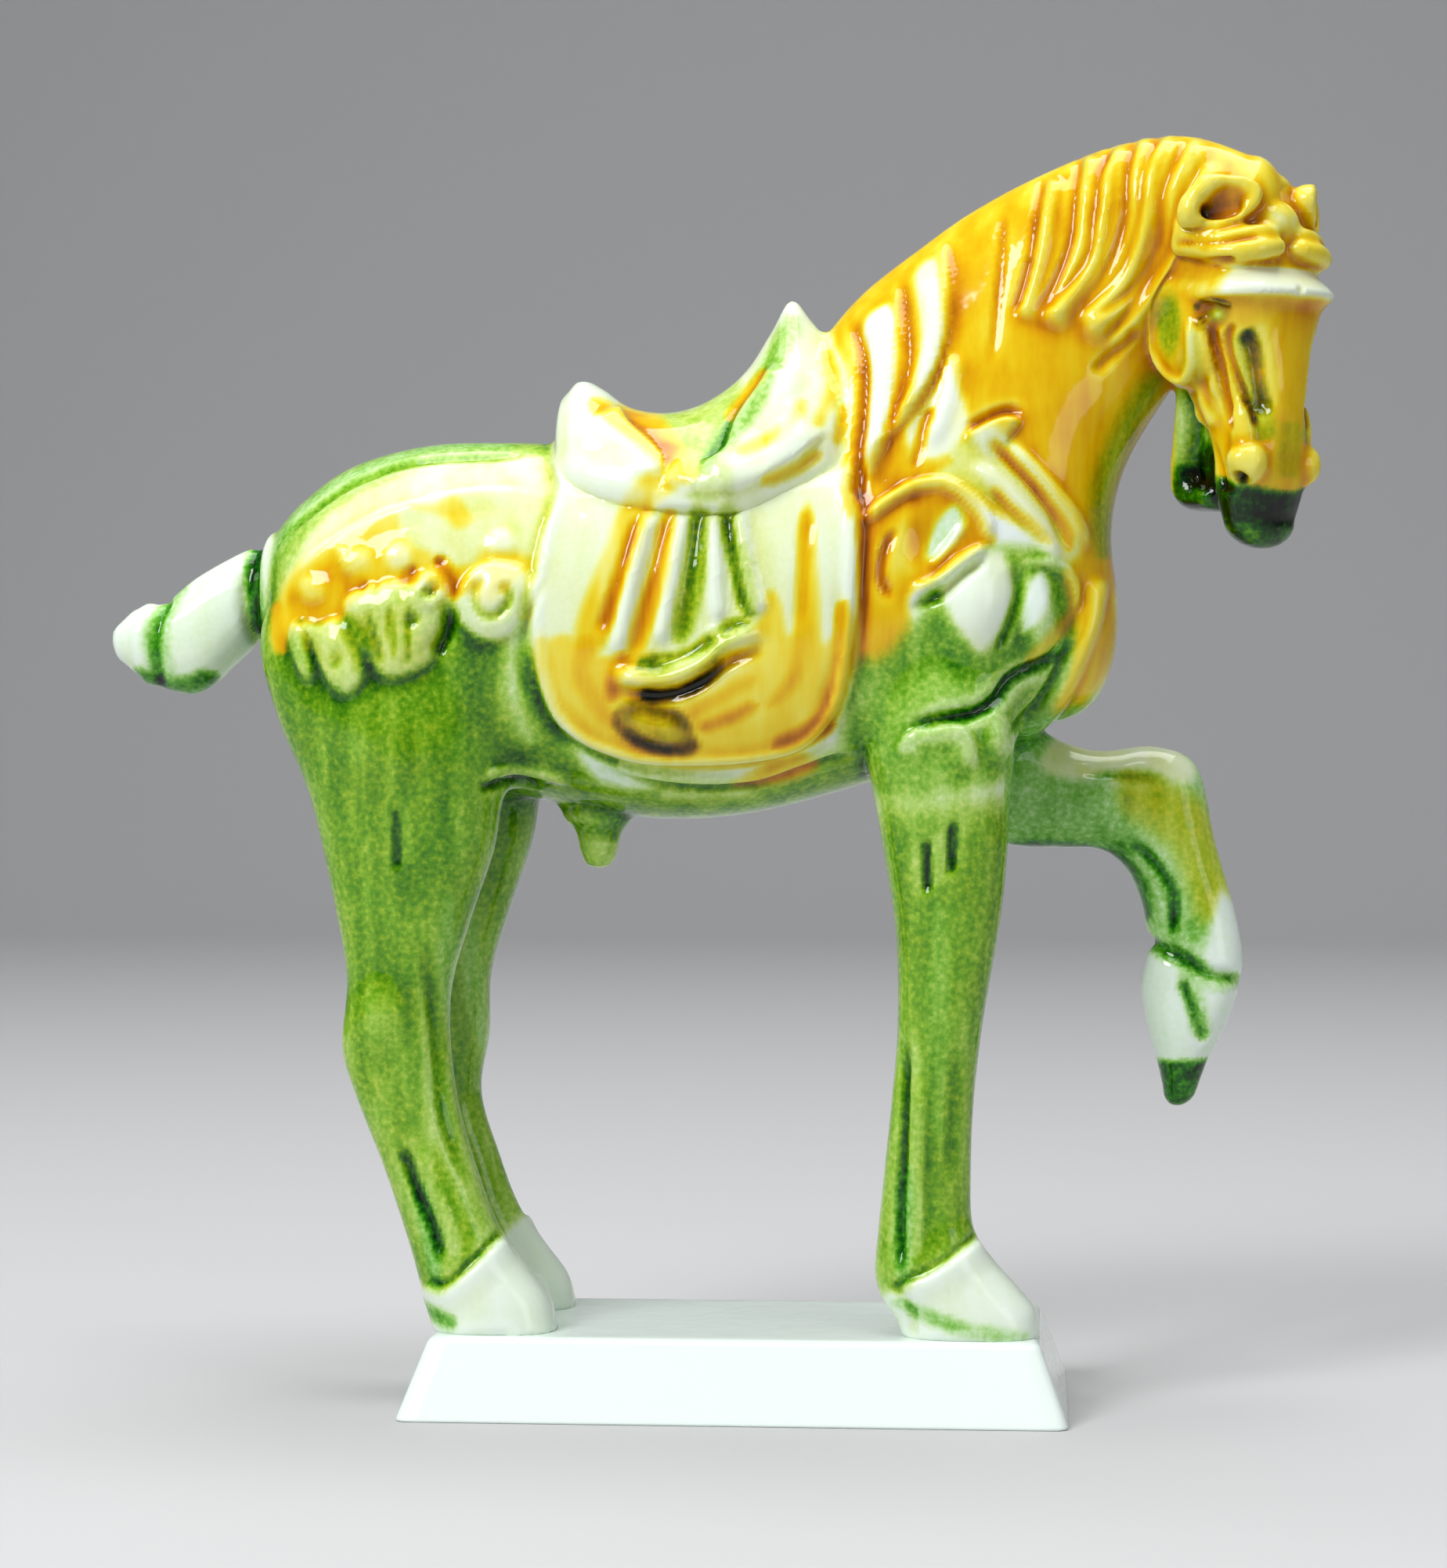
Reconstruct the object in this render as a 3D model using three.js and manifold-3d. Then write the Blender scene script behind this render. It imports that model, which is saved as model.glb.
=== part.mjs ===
// Glazed ceramic horse on a plinth, after the saddled horses of old Chinese tombs.
// Millimetres, +Z up. The horse walks towards +X, its right side faces -Y, and the
// origin is the centre of the plinth's underside. The horse is one slip-cast piece,
// and the plinth it is fired to is the other.
import * as THREE from "three";
import { mergeVertices } from "three/addons/utils/BufferGeometryUtils.js";
import Module from "manifold-3d";

const wasm = await Module();
wasm.setup();

// Driving dimensions
const PLINTH_LENGTH = 77;
const PLINTH_DEPTH = 40;
const PLINTH_HEIGHT = 9.2;
const PLINTH_END_SLOPE = 3.5;
const PLINTH_SIDE_SLOPE = 4.7;
const PLINTH_CORNER = 3;
const PLINTH_EDGE = 0.8;
const FIRED_GAP = 0.3;
const SOLE = PLINTH_HEIGHT + FIRED_GAP;
const LEG_SPREAD = 9;
const BARREL_HALF = 16.5;
const HEAD_TURN = THREE.MathUtils.degToRad(48);
const HEAD_PLACE = new THREE.Vector3(63.9, -11.2, 0);
const BLANKET_RISE = 1.3;
const PLEAT_RISE = 1;
const NEAR = -1;
const FAR = 1;

// A section of a limb or of the body: it runs in the side view from `a` to `b`, each
// [x, z], and is `w` wide on either side of `y`. `n` squares it, and `k` makes it
// wider towards `a` than towards `b`.
const section = (a, b, w, y = 0, n = 2.1, k = 0) => [a[0], a[1], b[0], b[1], w, y, n, k];

// Sections of the barrel, from back line `a` to belly `b`
const BARREL = {
  start: [-57, 96],
  end: [44, 89],
  sections: [
    section([-55.4, 102.2], [-55.4, 86], 8),
    section([-52, 106], [-52, 79], 12.6),
    section([-46, 110.2], [-44, 75], 15.2),
    section([-37, 112.6], [-34, 72.5], 16, 0, 2.2),
    section([-27, 112.9], [-23, 70.6], 15.2, 0, 2.2),
    section([-15, 112.4], [-11, 68.6], BARREL_HALF - 0.4, 0, 2.3),
    section([-3, 112.4], [0, 69], BARREL_HALF, 0, 2.3),
    section([9, 114], [11, 71.6], BARREL_HALF, 0, 2.3),
    section([21, 115], [21, 74.8], 15.8, 0, 2.3),
    section([32, 112], [29, 77], 14, 0, 2.3),
    section([40, 104], [36, 80], 10.5, 0, 2.3),
  ],
};

// Sections of the neck, from crest `a` to throat `b`
const NECK = {
  start: [14, 94],
  end: [63, 135],
  sections: [
    section([1, 110], [37, 80], 14),
    section([6.5, 120], [41.5, 88], 14.4, 0, 2.2, -0.1),
    section([12.5, 128.4], [43.2, 96], 13.2, 0, 2.2, -0.2),
    section([20, 134.9], [43.4, 103], 11.6, 0, 2.2, -0.25),
    section([28, 140.2], [44.6, 108.6], 10.2, 0, 2.1, -0.25),
    section([36, 144.2], [47, 113.6], 9, -0.4, 2.1, -0.2),
    section([44, 147], [49.8, 118], 7.8, -1.4, 2.1, -0.05),
    section([52, 147.6], [52.6, 121], 6.8, -3.2, 2.2, 0.2),
    section([59, 145], [56, 124], 6.2, -5.4, 2.2, 0.25),
  ],
};

// Sections of the near standing foreleg, from front `a` to back `b`
const NEAR_FORELEG = {
  start: [23.4, 88],
  sections: [
    section([32.6, 84], [13.6, 81.4], 7.2, -LEG_SPREAD),
    section([32.4, 76.6], [15.4, 74], 6.8, -LEG_SPREAD, 2.3),
    section([31.6, 68], [16.9, 66], 6, -LEG_SPREAD, 2.4),
    section([30.6, 57.4], [18.5, 55.4], 5.2, -LEG_SPREAD, 2.4),
    section([28.6, 45.6], [18.7, 44.8], 4.7, -LEG_SPREAD, 2.4),
    section([27.5, 36], [18, 36], 4.3, -LEG_SPREAD, 2.4),
    section([27.2, 27.6], [17.2, 28.2], 4.1, -LEG_SPREAD, 2.4),
    section([27.5, 21.6], [16.4, 20.4], 4.3, -LEG_SPREAD, 2.3),
    section([29.9, 17.8], [16.1, 16.4], 4.9, -LEG_SPREAD, 2.3),
    section([32.8, 14.6], [16.9, 13.4], 5.3, -LEG_SPREAD, 2.4),
    section([34.8, 12], [18.5, 11.2], 5.6, -LEG_SPREAD, 2.5),
    section([35.2, SOLE], [19.2, SOLE], 5.8, -LEG_SPREAD, 2.6),
  ],
};

// Sections of the raised far foreleg, from front `a` to back `b`
const RAISED_FORELEG = {
  start: [22, 80],
  end: [51.6, 34],
  sections: [
    section([26, 86], [24, 68], 6.4, 7.6),
    section([35, 79.4], [31.5, 65.2], 6, 8.6),
    section([42, 76.6], [37.5, 64.9], 5.4, LEG_SPREAD),
    section([48.6, 77], [42.4, 64.6], 4.8, LEG_SPREAD, 2.2),
    section([53.7, 74.2], [45.6, 62], 4.6, LEG_SPREAD, 2.3),
    section([55.7, 65.4], [47.4, 57.4], 4.1, LEG_SPREAD, 2.3),
    section([58, 57.6], [47.9, 52.6], 3.8, LEG_SPREAD, 2.3),
    section([59.2, 51.6], [47.1, 49], 4.1, LEG_SPREAD, 2.2),
    section([58.4, 47], [47.5, 45.4], 4.2, LEG_SPREAD, 2.3),
    section([57, 43.4], [48.4, 41.8], 3.8, LEG_SPREAD, 2.3),
    section([55.2, 39.8], [49.2, 38.8], 3, LEG_SPREAD),
    section([54, 36.6], [49.8, 36.2], 2.3, LEG_SPREAD),
  ],
};

// Sections of a hind leg, from front `a` to back `b`. The far one stands a little
// further forward above the hock.
const hindLeg = (y, forward) => ({
  start: [-42 + forward, 98],
  sections: [
    section([-25 + forward, 93], [-53, 99], 7.6, y * 0.8),
    section([-24.6 + forward, 83], [-55.8, 90], 8, y * 0.9),
    section([-26.4 + forward, 74.4], [-53.8 + forward, 80.4], 7.4, y, 2.2),
    section([-28 + forward, 66], [-49.6 + forward, 70.2], 6.6, y, 2.3),
    section([-31 + forward, 57], [-46.9 + forward, 58.6], 5.5, y, 2.4),
    section([-33.2 + forward, 49.4], [-45.5 + forward, 50], 4.8, y, 2.4),
    section([-33.4 + forward, 42.4], [-46.1 + forward, 42.2], 4.6, y, 2.4),
    section([-32.4, 35], [-44.5, 36.4], 4.2, y, 2.4),
    section([-30.2, 27.4], [-41.2, 28], 4, y, 2.4),
    section([-27.8, 21.2], [-38.4, 19.6], 4.4, y, 2.3),
    section([-24.4, 16.4], [-37, 14.6], 5, y, 2.3),
    section([-21.8, 12.8], [-36.2, 11.6], 5.4, y, 2.4),
    section([-20.8, SOLE], [-35.4, SOLE], 5.6, y, 2.5),
  ],
});

// Sections of the tied tail, from upper `a` to lower `b`
const TAIL = {
  start: [-48, 99],
  end: [-75.2, 89.4],
  sections: [
    section([-51, 105], [-53, 93], 3.8),
    section([-56.3, 101.6], [-57.6, 89.4], 4.2),
    section([-60.6, 99.6], [-60.4, 86.8], 4.6, 0, 2.2),
    section([-65.2, 97], [-64.6, 83.4], 4.6, 0, 2.2),
    section([-69, 94], [-68.8, 83.8], 4.2, 0, 2.2),
    section([-72.2, 93.5], [-72, 85.4], 3.7),
    section([-74.4, 91.6], [-74, 87], 2.6),
  ],
};

// Sections of the saddle, from its top `a` down into the back `b`
const SADDLE = {
  start: [-21.8, 112],
  end: [13, 114],
  sections: [
    section([-20.5, 118.6], [-20.2, 105], 9.6, 0, 2.4, -0.25),
    section([-18.9, 120.2], [-18.4, 104], 11.4, 0, 2.3, -0.3),
    section([-16.3, 119.1], [-15.6, 103], 12.6, 0, 2.3, -0.3),
    section([-13.2, 117], [-12, 102], 13.6, 0, 2.3, -0.25),
    section([-8.6, 116.3], [-8, 101], 14.2, 0, 2.3, -0.2),
    section([-4, 117.6], [-4, 101], 14.4, 0, 2.3, -0.3),
    section([0.4, 121], [0, 101], 14.2, 0, 2.2, -0.45),
    section([3.4, 125.6], [3.4, 102], 13.8, 0, 2.1, -0.55),
    section([5.8, 129.5], [6, 103], 13.2, 0, 2, -0.66),
    section([8.2, 127], [8.6, 104], 12.8, 0, 2, -0.55),
    section([10.8, 124], [11, 105], 12.2, 0, 2, -0.4),
  ],
};

// Sections of the head in its own frame, x forward out of the face and z up, from
// face `a` to jowl `b`
const HEAD = {
  start: [-8, 144],
  end: [-5.4, 100.6],
  sections: [
    section([-3.6, 141], [-14.4, 142], 6),
    section([-1, 136.8], [-16.2, 137.6], 7.6),
    section([0, 132.8], [-16.8, 133.2], 8.6, 0, 2.4),
    section([0.8, 129.8], [-17, 129.8], 9.6, 0, 2.6, 0.06),
    section([0.3, 126.8], [-16.8, 126], 8.6, 0, 2.6),
    section([-0.4, 122.6], [-16, 121.6], 7.2, 0, 2.6, -0.04),
    section([-0.9, 118], [-14.4, 117.4], 6.2, 0, 2.6, -0.06),
    section([-1.4, 114], [-11.4, 114], 5.5, 0, 2.5),
    section([-1.6, 110.4], [-10.6, 110.6], 5.7, 0, 2.5, 0.1),
    section([-2.4, 106.8], [-10.2, 106.8], 5.2, 0, 2.4),
    section([-3.6, 103.2], [-9.2, 103.6], 4, 0, 2.3),
  ],
};

// Sections of the lower jaw in the head's frame, hanging open below the jowl
const JAW = {
  start: [-13, 124],
  end: [-11, 105.4],
  sections: [
    section([-11, 121], [-17.4, 121.4], 4.8),
    section([-12.8, 117], [-17.6, 116.4], 4),
    section([-14.6, 113], [-18.2, 112.2], 3.4),
    section([-15.5, 109.8], [-18.7, 108.6], 3.2),
    section([-14.4, 107.8], [-17.2, 105.4], 3.2),
    section([-12.2, 107.2], [-13.8, 104.6], 2.8),
  ],
};

// Outlines in the side view: the saddle blanket, and the pleated cloth that lies on it.
const BLANKET = { left: -22.8, right: 14.6, top: 115, foot: 75.6, corner: 14 };
const PLEATED = { left: -13.4, right: 6, top: 108, foot: 85, corner: 2.4 };

// A fold modelled on the flank: a ridge along side-view points, with its half-width
// and height in the middle, which both fall away to the ends. The far flank is plainer.
const fold = (path, half, rise, nearOnly = false) => ({ path, half, rise, nearOnly });
const FOLDS = {
  cantleSkirt: fold([[-19, 117.6], [-13.6, 113], [-7.6, 107.6]], 2.6, 1.1),
  pommelSkirt: fold([[6.4, 125], [4.4, 118], [-0.6, 111], [-4.6, 106.4]], 2.8, 1.3),
  seatLip: fold([[-8.4, 107.2], [-4, 105.6], [1.4, 107.2]], 1.1, 1.1, true),
  pleatA: fold([[-6.4, 103.6], [-9.6, 97], [-12, 88.6]], 1.2, 1, true),
  pleatB: fold([[-4, 103.6], [-6, 96], [-7.6, 87.6]], 1.2, 1, true),
  pleatC: fold([[-1.8, 103.6], [-2, 96], [-2.6, 89]], 1.2, 1, true),
  pleatD: fold([[0.4, 103.6], [2, 97], [3.4, 90.4]], 1.2, 1, true),
  hem: fold([[-14, 84.4], [-8, 84.6], [-3, 88.2], [5.4, 90.6]], 1.3, 1.3),
  blanketSwell: fold([[-13, 82], [-7, 79.6], [1, 80]], 3, 1.1, true),
  collarA: fold([[12.8, 128], [15.6, 118], [16.6, 108], [15, 103]], 1.9, 1, true),
  collarB: fold([[20.4, 132.6], [22.6, 122], [21, 112], [17, 104.6]], 1.9, 1, true),
  throatA: fold([[27, 113.6], [34, 111], [38.6, 103], [41.2, 97]], 1.5, 1, true),
  shoulderRim: fold([[15.6, 102.6], [20, 105.4], [26, 105.6], [30, 102], [27, 98], [20.6, 95]], 1.7, 1.4),
  pointFold: fold([[18, 96], [24, 99.4], [28, 102]], 1.5, 0.9, true),
};

// Swellings: [x, z] of the middle, half length, half height, rise, and slope in degrees
const swelling = (x, z, half, high, rise, slope = 0, nearOnly = false) => ({
  x, z, half, high, rise, slope, nearOnly,
});
const SWELLINGS = {
  shoulder: swelling(27.6, 90.4, 6.4, 6.8, 1.6),
  breast: swelling(36, 89.6, 4.6, 7, 1.2),
  rumpLeaf: swelling(-50, 87.6, 2, 4.2, 1, 20, true),
  rumpLobe: swelling(-44.8, 88, 3.6, 4.6, 1.3, -20),
  rumpFan: swelling(-37.8, 91.4, 4, 5.2, 1.4, 10),
  rumpCurl: swelling(-34.2, 95, 2.6, 2.6, 1.6, 0, true),
  rumpShell: swelling(-26.6, 92.6, 4.6, 3.8, 1.5, 15),
};

// The mane: locks from the crest down both sides, in places along the neck's sections
const LOCKS = 8;
const FAR_LOCKS = 5;
const FIRST_LOCK = 3.7;
const LAST_LOCK = 7.7;
const LOCK_SLANT = 1.9;
const LOCK_HALF = 2.1;
const LOCK_RISE = 0.9;

const MATERIALS = {
  glaze: new THREE.MeshStandardMaterial({ color: 0x7fa03a, roughness: 0.18, metalness: 0 }),
  cream: new THREE.MeshStandardMaterial({ color: 0xe4eae0, roughness: 0.2, metalness: 0 }),
};

// The value at place t of a smooth curve that has the listed values at 0, 1, 2, ...
function smoothAt(values, t) {
  const last = values.length - 1;
  const i = Math.min(Math.floor(t), last - 1);
  const f = t - i;
  const before = values[Math.max(i - 1, 0)];
  const after = values[Math.min(i + 2, last)];
  const slope0 = (values[i + 1] - before) / 2;
  const slope1 = (after - values[i]) / 2;
  const rise = values[i + 1] - values[i];
  return values[i] + f * (slope0 + f * (3 * rise - 2 * slope0 - slope1 + f * (slope0 + slope1 - 2 * rise)));
}

// A closed geometry from rings of points, each ring closed by its pole at the ends.
function closeRings(rings, startPole, endPole) {
  const columns = rings[0].length;
  const points = [startPole, ...rings.flat(), endPole];
  const index = [];
  const at = (row, column) => 1 + row * columns + (column % columns);
  for (let c = 0; c < columns; c++) {
    index.push(0, at(0, c + 1), at(0, c));
    index.push(points.length - 1, at(rings.length - 1, c), at(rings.length - 1, c + 1));
    for (let r = 0; r < rings.length - 1; r++) {
      index.push(at(r, c), at(r, c + 1), at(r + 1, c + 1));
      index.push(at(r, c), at(r + 1, c + 1), at(r + 1, c));
    }
  }
  const geometry = new THREE.BufferGeometry().setFromPoints(points);
  geometry.setIndex(index);
  return geometry;
}

// One ring of a section: a squared oval between the section's two side-view points.
function ringOf([ax, az, bx, bz, w, y, n, k], columns, scale = 1, shift = [0, 0]) {
  const ring = [];
  for (let c = 0; c < columns; c++) {
    const turn = (2 * Math.PI * c) / columns;
    const along = Math.sign(Math.cos(turn)) * Math.abs(Math.cos(turn)) ** (2 / n);
    const across = Math.sign(Math.sin(turn)) * Math.abs(Math.sin(turn)) ** (2 / n);
    ring.push(new THREE.Vector3(
      (ax + bx) / 2 + ((ax - bx) / 2) * along * scale + shift[0],
      y + w * across * (1 + k * along) * scale,
      (az + bz) / 2 + ((az - bz) / 2) * along * scale + shift[1],
    ));
  }
  return ring;
}

// A limb or body through its sections. An end with a tip closes as a quarter round
// towards it, and an end without one is flat.
function loft({ sections, start, end }, columns, rowsPerSpan) {
  const CAP_ROWS = 2;
  const rings = [];
  const cap = (part, tip) => {
    const middle = [(part[0] + part[2]) / 2, (part[1] + part[3]) / 2];
    const rows = [];
    for (let r = CAP_ROWS; r > 0; r--) {
      const turn = (Math.PI / 2) * (r / (CAP_ROWS + 1));
      const shift = [0, 1].map((i) => (tip[i] - middle[i]) * Math.sin(turn));
      rows.push(ringOf(part, columns, Math.cos(turn), shift));
    }
    return { rows, pole: new THREE.Vector3(tip[0], part[5], tip[1]) };
  };
  const flat = (part) => ({
    rows: [],
    pole: new THREE.Vector3((part[0] + part[2]) / 2, part[5], (part[1] + part[3]) / 2),
  });
  const first = start ? cap(sections[0], start) : flat(sections[0]);
  const lastPart = sections[sections.length - 1];
  const last = end ? cap(lastPart, end) : flat(lastPart);
  rings.push(...first.rows);
  const spans = (sections.length - 1) * rowsPerSpan;
  for (let r = 0; r <= spans; r++) {
    const t = r / rowsPerSpan;
    const part = sections[0].map((_, i) => smoothAt(sections.map((s) => s[i]), t));
    rings.push(ringOf(part, columns));
  }
  rings.push(...last.rows.reverse());
  return closeRings(rings, first.pole, last.pole);
}

// A closed geometry as a solid, whichever way round its faces were listed.
function solidOf(geometry) {
  for (const name of ["normal", "uv"]) {
    geometry.deleteAttribute(name);
  }
  const merged = mergeVertices(geometry, 1e-4);
  const position = merged.attributes.position.array;
  const index = merged.index.array;
  let volume = 0;
  const corner = (i) => new THREE.Vector3().fromArray(position, 3 * index[i]);
  for (let i = 0; i < index.length; i += 3) {
    volume += corner(i).dot(corner(i + 1).cross(corner(i + 2)));
  }
  const triVerts = Uint32Array.from(index);
  if (volume < 0) {
    triVerts.reverse();
  }
  const mesh = new wasm.Mesh({ numProp: 3, vertProperties: Float32Array.from(position), triVerts });
  return new wasm.Manifold(mesh);
}

function geometryOf(solid) {
  const mesh = solid.getMesh();
  const geometry = new THREE.BufferGeometry();
  geometry.setAttribute("position", new THREE.BufferAttribute(Float32Array.from(mesh.vertProperties), 3));
  geometry.setIndex(Array.from(mesh.triVerts));
  return geometry;
}

// The outer skin alone: folds laid over hollows can trap a bubble, which is filled.
function outerSkin(geometry) {
  const index = Array.from(geometry.index.array);
  const owner = Array.from({ length: geometry.attributes.position.count }, (_, i) => i);
  const root = (i) => {
    while (owner[i] !== i) {
      owner[i] = owner[owner[i]];
      i = owner[i];
    }
    return i;
  };
  for (let i = 0; i < index.length; i += 3) {
    owner[root(index[i])] = root(index[i + 1]);
    owner[root(index[i + 1])] = root(index[i + 2]);
  }
  const sizes = new Map();
  for (const corner of index) {
    sizes.set(root(corner), (sizes.get(root(corner)) ?? 0) + 1);
  }
  const largest = [...sizes].sort((one, other) => other[1] - one[1])[0][0];
  geometry.setIndex(index.filter((corner) => root(corner) === largest));
  return mergeVertices(geometry.toNonIndexed());
}

const BARREL_COLUMNS = 20;

// Puts a point of the side view on the near or far face of a body.
function faceFinder(solid) {
  const FAR_OUT = 60;
  const mesh = new THREE.Mesh(geometryOf(solid), new THREE.MeshBasicMaterial({ side: THREE.DoubleSide }));
  return (x, z, side) => {
    const caster = new THREE.Raycaster(new THREE.Vector3(x, side * FAR_OUT, z), new THREE.Vector3(0, -side, 0));
    const hit = caster.intersectObject(mesh)[0];
    if (!hit) {
      throw new Error(`no body at ${x}, ${z}`);
    }
    const outward = hit.face.normal.clone();
    return { point: hit.point, outward: outward.multiplyScalar(Math.sign(outward.y) === side ? 1 : -1) };
  };
}

// A ridge of half-oval rings along placed points, sunk a little into what carries it.
function ridge(places, half, rise, columns = 4) {
  const SUNK = 0.9;
  const BLUNT = 0.35;
  const last = places.length - 1;
  const rings = [];
  for (let i = 0; i <= last; i++) {
    const before = places[Math.max(i - 1, 0)].point;
    const after = places[Math.min(i + 1, last)].point;
    const along = after.clone().sub(before).normalize();
    const out = places[i].outward.clone().addScaledVector(along, -places[i].outward.dot(along)).normalize();
    const across = new THREE.Vector3().crossVectors(along, out);
    const size = BLUNT + (1 - BLUNT) * Math.sin((Math.PI * (i + 0.5)) / (last + 1));
    const ring = [];
    for (let c = 0; c < columns; c++) {
      const turn = (2 * Math.PI * c) / columns;
      const up = Math.cos(turn) > 0 ? rise * size : SUNK;
      ring.push(places[i].point.clone()
        .addScaledVector(out, Math.cos(turn) * up)
        .addScaledVector(across, Math.sin(turn) * half * size));
    }
    rings.push(ring);
  }
  const beyond = (i, j) => {
    const tip = places[i].point.clone().sub(places[j].point).setLength(half * BLUNT);
    return places[i].point.clone().add(tip);
  };
  return solidOf(closeRings(rings, beyond(0, 1), beyond(last, last - 1)));
}

function foldSolid({ path, half, rise }, face, side) {
  const STEP = 4;
  const curve = new THREE.CatmullRomCurve3(path.map(([x, z]) => new THREE.Vector3(x, 0, z)));
  const steps = Math.max(3, Math.round(curve.getLength() / STEP));
  const places = curve.getPoints(steps).map(({ x, z }) => face(x, z, side));
  return ridge(places, half, rise);
}

function ball(radii, columns = 8, rows = 5) {
  return new THREE.SphereGeometry(1, columns, rows).scale(...radii);
}

function swellingSolid({ x, z, half, high, rise, slope }, face, side) {
  const { point, outward } = face(x, z, side);
  const DEPTH = 3;
  const geometry = ball([half, DEPTH, high])
    .applyMatrix4(new THREE.Matrix4().makeRotationY(-THREE.MathUtils.degToRad(slope)));
  const turn = new THREE.Quaternion().setFromUnitVectors(new THREE.Vector3(0, side, 0), outward);
  geometry.applyQuaternion(turn);
  const place = point.addScaledVector(outward, rise - DEPTH);
  return solidOf(geometry.translate(place.x, place.y, place.z));
}

// A prism through the whole horse with a rounded side-view outline.
function outlinePrism({ left, right, top, foot, corner }) {
  const REACH = 30;
  const shape = new THREE.Shape();
  shape.moveTo(left, top);
  shape.lineTo(left, foot + corner);
  shape.absarc(left + corner, foot + corner, corner, Math.PI, 1.5 * Math.PI, false);
  shape.absarc(right - corner, foot + corner, corner, 1.5 * Math.PI, 2 * Math.PI, false);
  shape.lineTo(right, top);
  const prism = new THREE.ExtrudeGeometry(shape, { depth: 2 * REACH, bevelEnabled: false, curveSegments: 6 });
  return solidOf(prism.rotateX(Math.PI / 2).translate(0, REACH, 0));
}

// The barrel grown outwards, to be trimmed to the outline of a cloth that lies on it.
function grownBarrel(rise) {
  const grown = BARREL.sections.map(([ax, az, bx, bz, w, ...rest]) => [ax, az + rise, bx, bz - rise, w + rise, ...rest]);
  return solidOf(loft({ ...BARREL, sections: grown }, BARREL_COLUMNS, 1));
}

// A point on the neck: `t` counts its sections, `turn` is the angle down from the crest.
function neckPlace(t, turn, side) {
  const part = NECK.sections[0].map((_, i) => smoothAt(NECK.sections.map((s) => s[i]), t));
  const [ax, az, bx, bz, w, y, n, k] = part;
  const along = Math.sign(Math.cos(turn)) * Math.abs(Math.cos(turn)) ** (2 / n);
  const across = side * Math.abs(Math.sin(turn)) ** (2 / n);
  const point = new THREE.Vector3(
    (ax + bx) / 2 + ((ax - bx) / 2) * along,
    y + w * across * (1 + k * along),
    (az + bz) / 2 + ((az - bz) / 2) * along,
  );
  const middle = new THREE.Vector3((ax + bx) / 2, y, (az + bz) / 2);
  return { point, outward: point.clone().sub(middle).normalize() };
}

function lockSolid(t, side, half) {
  const STEPS = 4;
  const START = 0.02;
  const END = 0.56;
  const places = [];
  for (let i = 0; i <= STEPS; i++) {
    const down = i / STEPS;
    places.push(neckPlace(t - LOCK_SLANT * down ** 2, Math.PI * (START + (END - START) * down), side));
  }
  return ridge(places, half, LOCK_RISE);
}

const legSolid = (leg) => solidOf(loft(leg, 10, 1));

const placedBall = (radii, [x, y, z], columns, rows) => solidOf(ball(radii, columns, rows).translate(x, y, z));

// The head in its own frame, turned and set on the neck at the end.
function headSolid() {
  let head = solidOf(loft(HEAD, 14, 1)).add(solidOf(loft(JAW, 8, 1)));
  for (const side of [NEAR, FAR]) {
    const jowl = placedBall([5.4, 2.6, 6.6], [-12, side * 6.2, 126], 8, 6);
    const socket = placedBall([2.6, 1.4, 1.8], [-4.4, side * 8.8, 126.2], 6, 4);
    const eye = placedBall([1.7, 1.3, 1.2], [-4.5, side * 7.5, 126], 6, 4);
    const nostril = placedBall([2, 1.5, 2.1], [-2.4, side * 5, 110.4], 6, 5);
    const nostrilHole = placedBall([0.8, 0.9, 1], [-1.4, side * 6.2, 109.6], 6, 4);
    const band = placedBall([7.4, 2, 1.7], [-7, side * 5.8, 135.2], 8, 5);
    const earCurve = [[-0.6, 1.2, 140.4], [-1.8, 4.4, 141.4], [-5.6, 7, 140.6], [-10.2, 8, 137.8]];
    const ear = ridge(earCurve.map(([x, y, z]) => ({
      point: new THREE.Vector3(x, side * y, z),
      outward: new THREE.Vector3(0.5, side * 0.8, 0.3).normalize(),
    })), 2.8, 1.7, 6);
    const earHollow = placedBall([2.8, 1.6, 1], [-3.6, side * 8.2, 139.8], 6, 4);
    head = head.add(jowl).subtract(socket).add(eye);
    head = head.add(nostril).subtract(nostrilHole).add(band).add(ear).subtract(earHollow);
  }
  const place = new THREE.Matrix4()
    .makeTranslation(HEAD_PLACE)
    .multiply(new THREE.Matrix4().makeRotationZ(-HEAD_TURN));
  return head.transform(place.elements);
}

// The sheath under the belly, with the drop of glaze that hangs from it
function sheathSolid() {
  const TOP = 72;
  const drop = [[0, 62.6], [1.4, 63], [2.2, 64.6], [2.8, 67], [4.4, 69], [4.4, TOP], [0, TOP]];
  const turned = new THREE.LatheGeometry(drop.map(([r, z]) => new THREE.Vector2(r, z)), 8);
  return solidOf(turned.rotateX(Math.PI / 2).translate(-17, 0, 0));
}

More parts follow.
